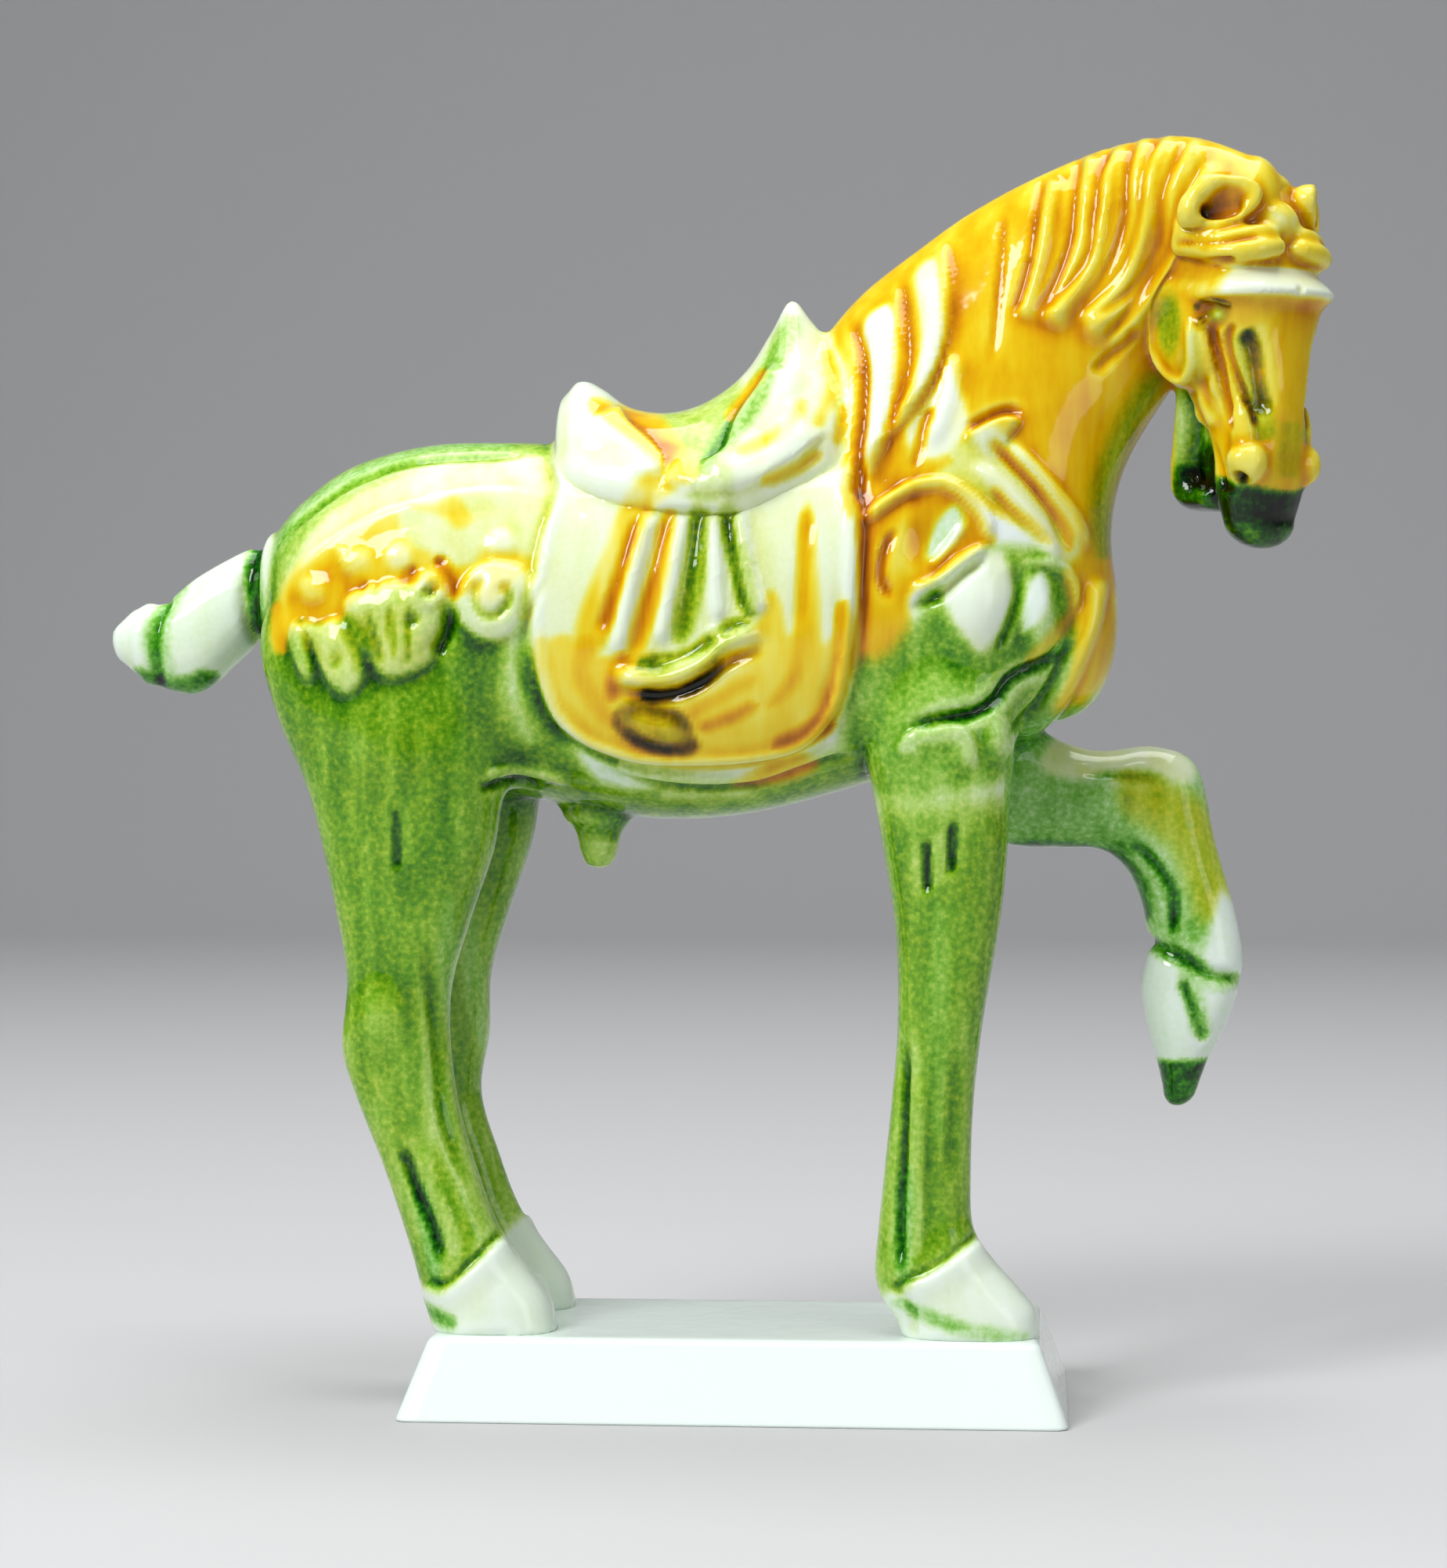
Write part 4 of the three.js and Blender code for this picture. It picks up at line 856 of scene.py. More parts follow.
def shape_head(points, normals):
    """The face: sockets and lids, cheekbone, hollows beside the nose, jowl, nostrils, lips
    and the hair round the ears."""
    marks = HeadMarks(points)
    height = -0.9 * marks.dab((-5.8, -8.4, 126), (3.2, 2.6, 2.4))
    height += 1.2 * marks.dab((-5.6, -8.4, 125.9), (1.9, 1.8, 1.5))
    for path, half, rise, ends in (
        (UPPER_LID, 0.6, 0.6, 0.15), (LOWER_LID, 0.6, 0.5, 0.15),
        (CHEEK_LINE, 0.9, -1.1, 0.15), (NOSE_LINE, 0.8, -0.9, 0.12), (HOLLOW, 1.7, -1.2, 0.2),
        ([(x + 0.9, y - 0.2, z) for x, y, z in NOSE_LINE[2:]], 0.8, 0.5, 0.2),
        ([(x + 0.8, y - 0.2, z) for x, y, z in CHEEK_LINE], 0.7, 0.4, 0.2),
        ([(x - 1.2, y - 0.2, z) for x, y, z in CHEEK_LINE[:4]], 1.1, 0.5, 0.2),
        (JOWL_RIM, 0.9, 0.7, 0.1),
        ([(-9.8, -7.2, 118.8), (-9.4, -6.2, 115.9), (-8.3, -5.4, 113.4)], 1.2, 0.6, 0.2),
        (LIP_LINE, 0.8, 0.6, 0.1),
        ([(-9, -5.6, 112), (-7.6, -5.4, 108.6), (-6.6, -5.2, 106)], 1, -0.6, 0.2),
        ([(-6.8, -5.6, 107), (-4.6, -5.8, 105.9), (-2.4, -4.4, 106.4)], 0.9, -0.5, 0.2),
        ([(-10.4, -8.9, 134.5), (-7.2, -9.6, 134.2), (-4, -8.4, 134.2), (-1.9, -4.8, 134.7)], 0.6, -0.4, 0.1),
        (SLOT, 0.9, -1, 0.1),
        ([(-17.4, -3.8, 116), (-18.2, -3.6, 112), (-18.4, -3.4, 108.4), (-16.6, -3.4, 105.4)], 0.9, 0.3, 0.2),
        ([(-9.4, -8.7, 139), (-6.8, -9.4, 140.4), (-3.4, -7.6, 141)], 0.5, -0.3, 0.1),
    ):
        height += rise * marks.stroke(path, half, ends)
    height -= 0.6 * marks.dab((-11.8, -9.6, 125.2), (2.6, 2.4, 4.6))
    height -= 1.7 * marks.dab((-3.9, -5.6, 107.6), (1.2, 1.8, 1))
    height += 0.4 * marks.dab((-4.2, -6.2, 110), (2, 2, 1.6))
    height -= 1.3 * marks.stroke([(-8.8, -8.8, 137.1), (-6, -8.2, 137.7), (-3.2, -5.8, 138.3)], 1.4)
    height -= 0.5 * marks.stroke([(0.2, 0, 128), (0.2, 0, 130.4), (-1.6, 0, 132)], 0.8)
    return height


# The skin
SMOOTHED = [(-36, 80, 21, 15), (24, 88, 18, 12), (34, 76, 10, 10), (40, 104, 10, 18), (24, 122, 10, 16)]


def blended(points, edges):
    """Rounds every join, and melts thighs, shoulders and neck into the body: the closer to an
    oval's middle, the more rounds of smoothing take hold."""
    points = relaxed(points, edges, 10)
    weight = np.zeros(len(points))
    for x, z, half, high in SMOOTHED:
        q = np.hypot((points[:, 0] - x) / half, (points[:, 2] - z) / high)
        weight = np.maximum(weight, 1 - step_up(q, 0.6, 1.1))
    return softened(points, edges, 70, weight[:, None])


def horse_skin():
    """The joined parts as one even skin, with its relief."""
    points, triangles = joined(horse_parts())
    points, triangles = reworked(magnified(points), triangles, "REMESH", mode="VOXEL", voxel_size=CELL)
    points, triangles = largest_shell(unmagnified(points), triangles)
    edges = edges_of(triangles)
    points = blended(points, edges)
    normals = softened(normals_of(points, triangles), edges, 4)
    normals /= np.linalg.norm(normals, axis=1, keepdims=True)
    relief = Relief(points, normals)
    shape_mane(relief)
    shape_chest(relief)
    shape_back(relief)
    shape_legs(relief)
    for flank in (NEAR, FAR):
        shape_saddle_cloths(relief, flank)
        shape_collar(relief, flank)
        shape_shoulder(relief, flank)
        shape_rump(relief, flank)
    relief.height += shape_head(points, normals)
    points = softened(relief.raised(), edges, 1, 0.5)
    points[:, 2] = np.maximum(points[:, 2], SOLE - 0.3)
    return points, triangles, edges


# The glaze
class Glaze:
    """Two depths of glaze at every point, painted in the side view from broad to fine."""

    def __init__(self, points):
        side = step_up(points[:, 1], -3, 3) * step_up(points[:, 2], 60, 70)
        side = side * (1 - step_up(points[:, 0], 34, 40))
        self.x = points[:, 0] + side * 2.2 * np.sin(points[:, 2] / 9 + 1)
        self.z = points[:, 2] + side * 3 * np.sin(points[:, 0] / 13 + 0.5)
        self.points = points
        self.amber = np.zeros(len(points))
        self.green = np.zeros(len(points))

    def lay(self, cover, amber=0.0, green=0.0):
        """Covers what lies below by a share, and leaves these depths there."""
        self.amber += cover * (amber - self.amber)
        self.green += cover * (green - self.green)

    def area(self, outline, amber=0.0, green=0.0, soft=1.0, share=1.0):
        chosen = self.near_path(outline, soft)
        inside = outline_inside(outline, self.x[chosen], self.z[chosen])
        cover = np.zeros(len(self.x))
        cover[chosen] = share * step_up(inside, -soft, soft)
        self.lay(cover, amber, green)

    def run(self, path, half, amber=0.0, green=0.0, soft=0.7, ends=0.15, share=1.0):
        """A streak that follows a path, `half` wide each way, with tapered ends."""
        chosen = self.near_path(path, half + soft)
        away, along = path_places(path, self.x[chosen], self.z[chosen])
        taper = step_up(along, -0.02, ends) * step_up(1 - along, -0.02, ends)
        cover = np.zeros(len(self.x))
        cover[chosen] = share * step_up(half * (0.35 + 0.65 * taper) - np.abs(away), -soft, soft)
        cover[chosen] *= step_up(taper, 0, 0.25)
        self.lay(cover, amber, green)

    def near_path(self, path, reach):
        low, high = np.min(path, axis=0) - reach - 1, np.max(path, axis=0) + reach + 1
        inside = (self.x > low[0]) & (self.x < high[0]) & (self.z > low[1]) & (self.z < high[1])
        return np.flatnonzero(inside)


def glaze_rump(glaze):
    """Green hindquarters under a pale top, with an amber wash over the ornaments."""
    glaze.area([(-60, 120), (-16, 120), (-16, 60), (-62, 60)], green=0.95, amber=0.3, soft=1.5)
    glaze.area([(-53, 92), (-51.6, 99), (-47.8, 104.6), (-41.2, 108.6), (-35.6, 110.2), (-30, 110.6),
                (-20, 110), (-20, 90), (-26, 88.6), (-31, 92), (-36, 93), (-42, 92.6), (-48, 90)],
               amber=0.1, green=0.06, soft=1.6)
    glaze.area([(-52.9, 94.6), (-51.1, 97.2), (-48.7, 99.2), (-45.5, 101.1), (-42.3, 103), (-39.1, 104.2),
                (-38.4, 102.3), (-36.7, 100.1), (-34, 99.1), (-32.5, 97.7), (-28.9, 97.7), (-29.6, 95.3),
                (-31.8, 94.3), (-34.7, 96.4), (-37.4, 95), (-41.3, 94.4), (-44.3, 92.6), (-45, 91.4),
                (-47.7, 90.9), (-50.2, 92.2), (-51.4, 89.7), (-53.1, 87.8), (-54.1, 89.7), (-53.6, 92.2)],
               amber=0.42, soft=0.7)
    glaze.area([(-52.4, 94.6), (-51, 97), (-48, 98.8), (-44, 99.6), (-42.6, 97), (-40.6, 96.2), (-44.6, 93.8),
                (-48, 92.2), (-51, 91)], amber=0.7, soft=1.4)
    for x, z, half in ((-50.6, 94.6, 1.4), (-47.2, 96.6, 1.1), (-43.4, 95.6, 1.3), (-37, 96.6, 1), (-33.6, 96.2, 1)):
        glaze.run([(x - half, z - 0.4), (x, z), (x + half, z + 0.3)], 0.7, amber=1.1, soft=0.9, share=0.8)
    glaze.run([(-53.4, 94), (-53, 90.8), (-52, 87.6)], 0.8, amber=1.1)
    glaze.run([(-50.4, 92), (-49.3, 90.4), (-48.8, 88)], 0.4, amber=0.9, green=0.3)
    glaze.area([(-37.4, 104.9), (-34.7, 104.9), (-32.5, 106.1), (-31.6, 105.4), (-30.1, 103.2),
                (-31.6, 102.3), (-33.5, 103.7)], amber=0.4, soft=0.6)
    glaze.area([(-28.7, 99.6), (-25.6, 99.8), (-23.2, 98.1), (-25.6, 95.2), (-27.1, 93.3), (-29, 94.3),
                (-29.5, 96.7)], amber=0.3, soft=0.9)
    glaze.run([(-34.3, 98.9), (-32.6, 97.2), (-31.4, 94.8), (-30, 96.7)], 0.5, amber=1.5)
    glaze.run([(-55.7, 97.3), (-52.4, 103.3), (-47.8, 107.4), (-41.2, 110.6), (-35.6, 112.2), (-26, 112.6)],
              1.2, green=0.7, soft=1.8)
    glaze.area([(-49.4, 90.6), (-46, 91), (-43.6, 90.6), (-42.4, 87), (-44, 83.8), (-47.3, 86)],
               green=0.45, amber=0.3, soft=0.8)
    glaze.area([(-44, 92), (-41.6, 94.8), (-36, 95.4), (-33.4, 92.6), (-33.4, 88.8), (-36.6, 85.8), (-40.6, 85.8),
                (-42.6, 90)], green=0.45, amber=0.3, soft=0.9)
    glaze.area([(-31, 94.4), (-31, 91.4), (-28, 89.6), (-25, 90.6), (-23.2, 94), (-25, 95.4), (-28, 93)],
               green=0.22, amber=0.12, soft=0.8)
    glaze.run([(-24, 92), (-24.6, 88.5), (-25.1, 82), (-23.2, 77)], 1.6, green=0.15, soft=1.6, share=0.8)


def glaze_flap(glaze):
    """A pale saddle and flap, with amber poured down it and pooled at the hem."""
    glaze.area([(-22, 124), (8, 134), (10.2, 128), (11.4, 124), (13, 120.6), (13.6, 116), (12.8, 110),
                (12.6, 105), (14, 102), (14.6, 95), (14.4, 86), (11.6, 79), (7, 76), (-6, 74.2),
                (-17.6, 77.2), (-22, 83), (-23.2, 92), (-21, 106)], amber=0.05, green=0.04, soft=0.6)
    glaze.area([(-9.3, 115.4), (-5.7, 116.6), (-3.4, 118), (-0.4, 120), (0.4, 116), (-1.4, 111.2),
                (-0.1, 108.9), (-0.4, 105.3), (-4.4, 105.3), (-4.4, 107.9), (-4.7, 110.2)],
               green=0.3, amber=0.15, soft=1)
    glaze.area([(-14.2, 116.6), (-11.6, 116.4), (-9, 115.4), (-6, 111.5), (-4.4, 109.5), (-4.4, 107.5),
                (-7.3, 107.4), (-8.3, 110.2), (-10.3, 112.2)], amber=0.8, soft=0.8)
    glaze.run([(-17.4, 117.6), (-12.3, 114.1), (-9, 111.5), (-6.7, 109.5)], 0.9, amber=0.9)
    glaze.run([(6.4, 128), (5.1, 123.5), (3.5, 119.9), (1.5, 116), (-0.8, 112.6), (-3.4, 108.6)],
              1.3, green=0.75, amber=0.1, soft=0.9)
    glaze.run([(3.5, 120.9), (1.8, 118.6), (-0.1, 116), (-0.8, 114.4)], 0.6, amber=1.1)
    for path in ([(10.1, 123.3), (11.1, 119.7), (10.8, 116.8), (9.5, 113.6)],
                 [(8.2, 117.1), (6.2, 113.6), (3, 111.7), (0.4, 110.7)],
                 [(12.9, 116.5), (12.1, 113.2), (11.4, 111.9)]):
        glaze.run(path, 0.6, amber=0.4)
    glaze.run([(10.2, 110.9), (7.6, 109), (3.4, 107.2)], 0.5, amber=0.5)
    glaze.run([(-6.1, 109.7), (-7.7, 107.7), (-10, 105.8), (-11.3, 103.2), (-12.6, 99.3), (-13.9, 96.1),
               (-15.6, 91.5), (-16.6, 86.6)], 1.7, amber=0.55, soft=0.8)
    glaze.run([(-9.6, 105), (-11.2, 101), (-12.7, 96), (-14.4, 90)], 0.5, amber=1, soft=0.6)
    glaze.run([(-7.1, 104.5), (-7.8, 98), (-9.9, 91.5), (-11.4, 86.6)], 1, amber=0.6, soft=0.6)
    glaze.run([(-3.7, 105.4), (-3.7, 99.6), (-4.5, 94.7), (-5.9, 88.5)], 1.2, green=0.45, amber=0.3, soft=0.6)
    glaze.run([(-0.8, 105.4), (0.2, 101.2), (1.4, 97.3), (2.4, 91.8)], 1.1, green=0.5, amber=0.3, soft=0.6)
    glaze.area([(-21.7, 88.3), (-18.7, 89.9), (-16.4, 87.9), (-13.8, 87.3), (-10.6, 87.9), (-6.3, 87.6),
                (-1.4, 89.9), (3.1, 90.8), (4.4, 94.7), (5.7, 93.1), (6.4, 89.9), (7.5, 91.5), (7.7, 100.5),
                (8.6, 104.7), (9.4, 101.2), (10.1, 93.1), (10.4, 88.9), (11.9, 90.2), (12.4, 92.8),
                (13.2, 92.1), (13.5, 86.6), (11.9, 81.8), (9, 78.2), (5.7, 76.2), (-4, 75.3), (-13.8, 76.2),
                (-17.8, 78.5), (-20.7, 82.4)], amber=0.42, soft=0.6)
    glaze.run([(-21.9, 90), (-20.7, 84), (-17.6, 79.6), (-12.4, 77), (-4, 76), (4, 76.6), (9, 79)],
              0.9, amber=0.75, soft=0.9, ends=0.1)
    glaze.run([(-16.4, 90), (-17, 85.6), (-15.2, 81.4), (-12.6, 79.4)], 0.9, amber=1, soft=0.8, share=0.9)
    glaze.run([(-12, 88), (-13.4, 84.6), (-13.6, 82)], 0.7, amber=1.3, soft=0.7)
    glaze.run([(8.4, 104.4), (8.7, 98), (8.6, 91), (7.2, 85), (4, 81.6)], 0.7, amber=0.95, soft=0.8)
    glaze.run([(12.8, 94), (13, 88.9), (12.3, 85), (10.9, 81.1), (8.6, 77.9)], 0.8, amber=1.5, soft=0.7)
    glaze.run([(11.4, 80.4), (8, 78.4), (4.6, 77)], 0.9, amber=2.2, soft=0.8, share=0.8)
    glaze.run([(-12.9, 81.6), (-11.6, 79.2), (-8, 77.4), (-3.6, 77.4)], 1.1, amber=2.6, green=0.5)
    glaze.area([(-12.6, 82), (-7.4, 81.8), (-5, 80), (-5, 77.6), (-9, 77.4), (-12, 79)], amber=1.8, green=0.5, soft=0.6)
    glaze.run([(-10.6, 83.4), (-6, 83.4), (-3.4, 84.8), (-1.2, 87.6)], 0.9, amber=1.9, green=0.5)
    glaze.run([(3.1, 82.1), (-0.1, 80.5), (-3.7, 79.2)], 0.6, amber=1.3)
    glaze.run([(-5, 80.6), (-1, 83), (3, 85)], 0.6, amber=0.8)
    glaze.run([(-10.9, 86.6), (-7.2, 86.4), (-3.2, 87.8), (-0.4, 90), (2.6, 90.8)], 1.2, green=0.5, amber=0.4)
    glaze.run([(-8.6, 87), (-5.4, 86.8), (-2.6, 88)], 0.4, green=0.15, amber=0.1, soft=0.5)


def glaze_collar(glaze):
    """Pale folds between runs of amber, an amber neck, and the scarf's pale ridges."""
    glaze.area([(12.6, 103), (11.6, 112), (8, 124), (8, 132), (20, 142), (30, 150), (60, 156), (70, 120), (52, 100), (44, 96),
                (44, 88), (39, 82), (38.6, 98), (30, 104), (22, 107), (18, 106)], amber=0.9, soft=0.8)
    glaze.area([(15.3, 108.6), (15.2, 115), (15.4, 120.8), (14.4, 125.8), (17.6, 128.6), (18.7, 123.6),
                (18.4, 118), (17.3, 113)], amber=0.03, soft=0.5)
    glaze.area([(20.2, 132), (21, 124), (20.4, 117), (19.4, 112.8), (21.4, 110), (25.4, 110.2), (26.4, 112.4),
                (27, 115.2), (25.4, 119.6), (25, 123.6), (23.8, 128), (23, 133.6)], amber=0.06, soft=0.7)
    glaze.run([(24, 135.2), (24.6, 128.3), (24, 122.1), (21.8, 117.4), (18.4, 112.6)], 0.5, amber=0.9, soft=0.5)
    glaze.run([(22.8, 115.8), (21.8, 113.3), (20.9, 109.9)], 0.6, amber=0.7, soft=0.5)
    glaze.run([(14, 105.5), (15.6, 107.4), (17.5, 111.4), (18.4, 112.7)], 1, amber=1.1)
    glaze.area([(22.4, 108.6), (26.6, 112.4), (29.6, 113.8), (32.6, 111.4), (35.6, 107.4), (38.4, 103.4),
                (39.8, 100), (38.6, 98.2), (36, 99.6), (31, 103.6), (26, 107.2)], amber=0.12, green=0.06, soft=0.8)
    glaze.run([(24.9, 110.2), (23.1, 109.1), (21.5, 108.3)], 0.5, amber=0.8)
    glaze.run([(29.3, 112.2), (33.1, 108.4), (35.9, 104.9), (38.1, 101.8), (38.3, 99.3)], 0.6, amber=0.8, soft=0.5)
    glaze.run([(29.6, 106.8), (31.5, 104.6), (34.3, 102.4), (36.5, 100.2)], 0.5, amber=0.8, soft=0.5)
    glaze.run([(48.7, 120.4), (45.1, 114), (42.4, 106.7), (42.4, 98.4)], 1.2, green=0.5, amber=0.5, soft=1.4)


def glaze_shoulder(glaze):
    """The curled opening in amber and the bare swells of muscle beside it, over green."""
    glaze.area([(14.4, 102.8), (17.2, 105), (18.7, 106.4), (21.2, 107.6), (26.4, 106), (29.6, 101),
                (28, 99.6), (24, 96.4), (19.9, 94.4), (20.6, 90), (19.4, 84.5), (15.9, 84), (13.9, 84.6),
                (13.7, 89.8), (14.2, 94.8)], amber=0.9, soft=0.8)
    glaze.area([(13.6, 85.4), (17.3, 87.4), (20.6, 91), (22.6, 95), (26, 97.6), (30, 99.6), (34, 99.4),
                (38, 98), (39.4, 92), (40.6, 86), (42, 80), (33, 74), (14, 72)], green=0.75, amber=0.15, soft=1.4)
    glaze.area([(29.9, 99.9), (23.9, 96), (24.4, 92.6), (26.3, 89.6), (28.1, 87.6), (29.6, 89),
                (31.4, 92.3), (32.3, 95), (31.6, 98)], amber=0.03, green=0.04, soft=0.7)
    glaze.area([(34.9, 97.4), (33.3, 94.4), (32.8, 90.3), (34.2, 90.6), (35.9, 93), (36.2, 96)],
               green=0.06, soft=0.6)
    glaze.area([(25.4, 104.9), (23, 102.6), (21.9, 98.6), (24, 99), (26.6, 102.4)], green=0.1, soft=0.6)
    glaze.run([(37.9, 97.8), (39, 93.3), (37.3, 90.4), (35.1, 88), (33.2, 86.4)], 0.8, amber=1, green=0.2)
    glaze.run([(42.4, 96.4), (41.3, 91), (39, 84.6), (36.3, 79.6)], 0.8, amber=1.1)
    glaze.run([(38.4, 89.6), (35.6, 86.9), (32, 85), (30.2, 82.6), (27.6, 81), (23.9, 80.3)], 0.6, green=1.3)


def glaze_underside(glaze):
    """The belly's pale and green streaks."""
    glaze.area([(-21, 76.6), (-12, 74.6), (-4, 73.4), (4, 73.6), (12, 77), (17, 74), (8, 66), (-20, 66)],
               green=0.7, amber=0.25, soft=1.2)
    glaze.area([(-18.8, 77.5), (-16.1, 76.4), (-12.5, 74.3), (-8.8, 73), (-10.7, 71.8), (-16.1, 73)],
               green=0.08, soft=0.9)
    glaze.area([(7.2, 75.9), (9.5, 75.6), (8.9, 74.2), (5.6, 73), (-0.3, 72.6), (3, 74.3)], amber=1.2, soft=0.8)
    glaze.run([(-9, 71.6), (-3, 71), (3, 71.6)], 0.8, green=0.15, amber=0.1)
    drop = glaze.points - [-17, 0, 66]
    beside = 1 - step_up(np.hypot(drop[:, 0], drop[:, 1]), 5, 7)
    glaze.lay(beside * (1 - step_up(drop[:, 2], 0, 4)), green=4)


def glaze_legs(glaze):
    """Green legs over bare hooves. The raised one is pale above and dark below."""
    x, z = glaze.x, glaze.z
    legs = 1 - step_up(z, 66, 74)
    glaze.lay(legs * (x < 38), green=1, amber=0.3)
    glaze.area([(33, 80), (54, 78), (60, 64), (60, 50), (46, 50), (44, 60), (33, 62)], green=0.85, soft=1)
    glaze.area([(44.1, 75), (47, 74.5), (50, 73.3), (53.9, 70.6), (56.1, 67.4), (57.6, 61.8), (58.4, 58.1),
                (54.4, 56.3), (52.6, 60), (50.7, 64.4), (47.8, 67.3), (44.8, 69.6)],
               amber=0.45, green=0.45, soft=1.5)
    glaze.area([(35.2, 76.2), (37.8, 78.4), (41.9, 77.8), (47, 78), (51, 77.2), (53.5, 74.5), (52, 72.5),
                (47, 74.4), (43.4, 74), (39.7, 72.9), (36, 73.6)], green=0.08, amber=0.1, soft=0.8)
    glaze.area([(56.6, 60.1), (60.2, 56), (60.6, 50.4), (57, 47.4), (54.5, 51.6), (55.2, 56.3)],
               green=0.06, soft=1)
    glaze.area([(46, 52), (50.8, 51.2), (56, 48.6), (59, 47), (55, 39), (47, 39)], green=0.08, soft=0.8)
    glaze.run([(51.9, 50.6), (53.4, 46.9), (54.5, 42.2)], 1.1, green=0.8)
    glaze.run([(51.6, 50.6), (55.6, 48.9), (59.1, 49.4)], 0.8, green=0.8)
    glaze.run([(33, 65.6), (36, 65.1), (41.2, 64.4), (44.9, 63.4), (47.1, 60.5), (47.8, 56.7)],
              0.6, green=3, soft=0.6, ends=0.05)
    glaze.run([(43.4, 65.8), (47.1, 64), (49.6, 61.1), (50.8, 57), (50.8, 53)], 0.6, green=1.7)
    glaze.lay(step_up(glaze.points[:, 0], 46, 47) * (1 - step_up(z, 38.8, 40)), green=4.5)
    hooves = [
        ([(-37.4, 14.6), (-35.6, 14.4), (-33.6, 14.4), (-29.9, 17.8), (-27.3, 20.4), (-24, 22), (-18, 15),
          (-19, 6), (-37.4, 6)]),
        ([(17, 14), (19.5, 14.9), (21.6, 16.8), (24.6, 18.9), (27.7, 20.9), (31, 21.6), (38, 13), (37, 6),
          (17, 6)]),
    ]
    for outline in hooves:
        glaze.area(outline, green=0.04, amber=0.02, soft=0.9)
    glaze.run([(17.4, 13.4), (20, 13), (23.1, 11.7), (28, 10.2), (34.8, 9.6)], 0.7, green=0.8, ends=0.3)
    glaze.run([(-37, 12), (-34.6, 11.2), (-32, 10)], 0.8, green=1.2)
    glaze.run([(20, 30), (19.5, 22), (19.4, 15)], 1, green=1.5, ends=0.3)
    glaze.run([(-37, 27), (-35.4, 21), (-34.4, 14)], 1, green=1.5, ends=0.3)
    glaze.run([(-33, 62), (-33, 50), (-31.4, 38)], 1.2, green=0.7, ends=0.4, share=0.7)
    glaze.run([(23.4, 62), (23.6, 48), (23.2, 30)], 1.3, green=0.75, amber=0.1, ends=0.4, share=0.7)


def glaze_tail(glaze):
    """A bare tail with a green streak, black where the glaze gathered below it."""
    glaze.area([(-80, 98), (-56, 104), (-56.4, 88), (-64, 80), (-80, 80)], green=0.08, amber=0.02, soft=1)
    glaze.run([(-67.2, 96), (-69.2, 90.5), (-68.4, 85.2)], 1.4, green=0.8, ends=0)
    glaze.run([(-58.4, 103), (-57, 96), (-56.4, 88)], 1, green=1.6, ends=0)
    glaze.run([(-73.6, 85.4), (-70.7, 84.2), (-66.4, 83.4), (-61.8, 85)], 1.5, green=3.6, soft=0.9)


